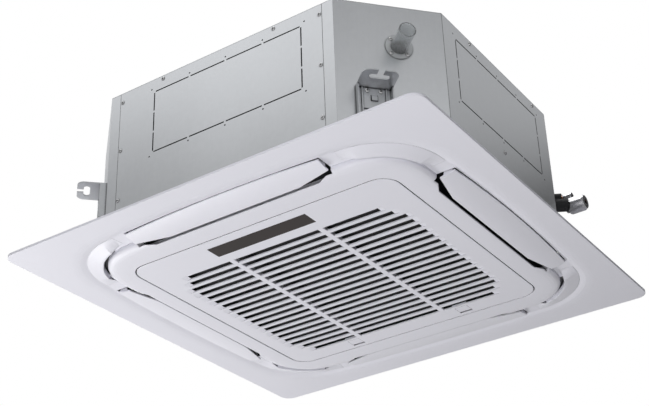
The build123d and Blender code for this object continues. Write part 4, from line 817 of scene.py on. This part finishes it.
class CASSETTE_OT_corner_pockets(bpy.types.Operator):
    """Close the finger slots at the ring's corners with trays behind the panel, dark as painted shade in the
    slots
    """

    bl_idname = "cassette.corner_pockets"
    bl_label = "Corner pockets"

    LOOKS_DOWN = -0.5           # a face whose normal has less Z than this looks down
    EDGE_STEPS = 2

    def execute(self, context):
        sizes = context.scene.cassette_sizes
        middle = sizes.pocket_start + sizes.pocket_side / 2
        level = sizes.pocket_foot + sizes.pocket_height / 2
        shape = bmesh.new()
        for turn in range(len(CORNERS)):
            tray = bmesh.ops.create_cube(shape, size=1.0)["verts"]
            bmesh.ops.scale(
                shape, vec=(sizes.pocket_side, sizes.pocket_side, sizes.pocket_height), verts=tray)
            bmesh.ops.translate(shape, verts=tray, vec=(middle, middle, level))
            bmesh.ops.rotate(shape, verts=tray, matrix=Matrix.Rotation(turn * QUARTER_TURN, 3, "Z"))
        feet = [face for face in shape.faces if face.normal.z < self.LOOKS_DOWN]
        bmesh.ops.delete(shape, geom=feet, context="FACES_ONLY")
        folds = [edge for edge in shape.edges if not edge.is_boundary]
        bmesh.ops.bevel(
            shape, geom=folds, offset=sizes.pocket_edge, segments=self.EDGE_STEPS, affect="EDGES",
            profile=0.5, material=-1)
        bmesh.ops.solidify(shape, geom=shape.faces[:], thickness=sizes.pocket_wall)
        # dark_moulding here is painted shade: the real pockets are white, and only shade darkens them
        add_piece("corner_pockets", shape, "dark_moulding", "unit")
        return {"FINISHED"}


class CASSETTE_OT_stage(bpy.types.Operator):
    """Make the floor, the world, the lamps, the screen and the camera"""

    bl_idname = "cassette.stage"
    bl_label = "Stage"

    LAMPS = {           # place, what it points at, width
        "left": ((-1.8, 0.1, -1.4), (-0.1, 0.0, 0.0), 1.0),
        "front": ((0.6, -1.8, -1.6), (0.1, -0.1, 0.0), 1.2),
        "top": ((0.0, 0.0, 2.6), (0.0, 0.0, 0.2), 1.6),
    }
    LIGHT_COLOUR = (0.97, 0.98, 1.0)
    WHITE = (1.0, 1.0, 1.0)
    FLOOR_SIZE = 30.0
    FLOOR_GLOW = 0.8            # share of plain white in the floor that is seen; the rest takes the shadow
    SCREEN_RADIUS = 1.6
    SCREEN_DEPTH = 2.6
    SCREEN_MIDDLE = 1.4         # level of the screen's middle
    SCREEN_SIDES = 72
    SENSOR_WIDTH = 36.0         # millimetres, as the lens is

    def lamp(self, name, place, aim, size, power):
        data = bpy.data.lights.new(name, "AREA")
        data.shape = "DISK"
        data.size = size
        data.energy = power
        lamp = add_object(name, data)
        lamp.location = place
        lamp.rotation_mode = "QUATERNION"
        lamp.rotation_quaternion = (Vector(aim) - Vector(place)).to_track_quat("-Z", "Y")

    def seen(self, finish):
        """1 for rays from the camera and for those that metal or glass send on."""
        path = finish.node("ShaderNodeLightPath", output="Is Camera Ray")
        for ray in ("Is Glossy Ray", "Is Transmission Ray"):
            path = path.at_least(finish.node("ShaderNodeLightPath", output=ray))
        return path

    def glow(self, finish, colour, strength):
        return finish.node("ShaderNodeEmission", inputs={"Color": (*colour, 1), "Strength": strength})

    def mixed(self, finish, amount, first, second):
        """Mix of two surfaces by an amount from 0 to 1."""
        return finish.node("ShaderNodeMixShader", inputs={"Fac": amount, 1: first, 2: second})

    def floor(self, level):
        shape = bmesh.new()
        bmesh.ops.create_grid(
            shape, x_segments=1, y_segments=1, size=self.FLOOR_SIZE,
            matrix=Matrix.Translation((0, 0, level)))
        floor = add_object("studio_floor", as_mesh("studio_floor", shape))
        finish = new_finish("studio_floor")
        finish.set(Base_Color=(0.9, 0.9, 0.9, 1), Roughness=0.9)
        matt = Signal(finish, finish.shader.outputs["BSDF"])
        white = self.glow(finish, self.WHITE, 1.0)
        finish.show(self.mixed(finish, self.seen(finish) * self.FLOOR_GLOW, matt, white))
        floor.data.materials.append(finish.owner)

    def screen(self):
        """A round screen that the camera doesn't see. The front wall mirrors its front left, the corner
        beside the drain its front right, and the right wall its back."""
        shape = bmesh.new()
        bmesh.ops.create_cone(
            shape, cap_ends=False, segments=self.SCREEN_SIDES, radius1=self.SCREEN_RADIUS,
            radius2=self.SCREEN_RADIUS, depth=self.SCREEN_DEPTH,
            matrix=Matrix.Translation((0, 0, self.SCREEN_MIDDLE)))
        screen = add_object("studio_screen", as_mesh("studio_screen", shape))
        finish = new_finish("studio_screen")
        place = finish.node("ShaderNodeTexCoord", output="Object")
        x, y, z = (finish.split(place, axis) for axis in "XYZ")
        front_left = finish.ramp(z, start=0.80, stop=1.15, low=0.50, high=1.18)
        front_right = finish.ramp(z, start=0.75, stop=1.25, low=0.84, high=0.44)
        back = finish.ramp(z, start=0.78, stop=1.05, low=0.04, high=0.60)
        front = front_left.blend(front_right, finish.ramp(x, start=-0.6, stop=1.2))
        level = front.blend(back, finish.ramp(y, start=-0.7, stop=1.1))
        camera = finish.node("ShaderNodeLightPath", output="Is Camera Ray")
        clear = finish.node("ShaderNodeBsdfTransparent")
        finish.show(self.mixed(finish, camera, self.glow(finish, self.LIGHT_COLOUR, level), clear))
        screen.data.materials.append(finish.owner)

    def world(self, ambient):
        """White where the camera or a mirror sees it, and a faint light otherwise."""
        world = bpy.data.worlds.new("studio")
        bpy.context.scene.world = world
        sky = Finish(world, "Background")
        seen = self.seen(sky)
        sky.feed("Color", sky.tint(seen, self.LIGHT_COLOUR, self.WHITE))
        sky.feed("Strength", seen * (1 - ambient) + ambient)

    def camera(self, studio):
        turn, lift = studio.azimuth, studio.elevation
        back = Vector((math.sin(turn) * math.cos(lift), -math.cos(turn) * math.cos(lift), math.sin(lift)))
        facing = (-back).to_track_quat("-Z", "Y").to_matrix().to_4x4()
        data = bpy.data.cameras.new("camera")
        data.lens = studio.lens
        data.sensor_width = self.SENSOR_WIDTH
        camera = add_object("camera", data)
        camera.location = Vector(studio.target) + back * studio.distance
        camera.rotation_mode = "QUATERNION"
        camera.rotation_quaternion = (facing @ Matrix.Rotation(studio.roll, 4, "Z")).to_quaternion()
        bpy.context.scene.camera = camera

    def execute(self, context):
        studio = context.scene.cassette_studio
        self.floor(studio.floor_level)
        self.world(studio.ambient)
        for name, (place, aim, size) in self.LAMPS.items():
            self.lamp(f"{name}_lamp", place, aim, size, getattr(studio, f"{name}_power"))
        self.screen()
        self.camera(studio)
        context.scene.view_settings.view_transform = "Standard"
        return {"FINISHED"}


class CASSETTE_PT_sidebar(bpy.types.Panel):
    """Lists the sizes, the colours and the steps that dress the unit"""

    bl_label = "Cassette"
    bl_idname = "CASSETTE_PT_sidebar"
    bl_space_type = "VIEW_3D"
    bl_region_type = "UI"
    bl_category = "Cassette"

    def draw(self, context):
        for name, kind in GROUPS.items():
            group = getattr(context.scene, name)
            box = self.layout.box()
            for value in kind.__annotations__:
                box.prop(group, value)
        for step in STEPS:
            self.layout.operator(step.bl_idname)


GROUPS = {
    "cassette_sizes": CassetteSizes,
    "cassette_colours": CassetteColours,
    "cassette_studio": CassetteStudio,
}
STEPS = (
    CASSETTE_OT_finishes,
    CASSETTE_OT_screws,
    CASSETTE_OT_flare_nuts,
    CASSETTE_OT_ring_corners,
    CASSETTE_OT_corner_pockets,
    CASSETTE_OT_stage,
)


def register():
    for kind in (*GROUPS.values(), *STEPS, CASSETTE_PT_sidebar):
        bpy.utils.register_class(kind)
    for name, group in GROUPS.items():
        setattr(bpy.types.Scene, name, bpy.props.PointerProperty(type=group))


def unregister():
    for name in GROUPS:
        delattr(bpy.types.Scene, name)
    for kind in (CASSETTE_PT_sidebar, *reversed(STEPS), *GROUPS.values()):
        bpy.utils.unregister_class(kind)


def main():
    register()
    for step in STEPS:
        family, name = step.bl_idname.split(".")
        getattr(getattr(bpy.ops, family), name)()


if __name__ == "__main__":
    main()
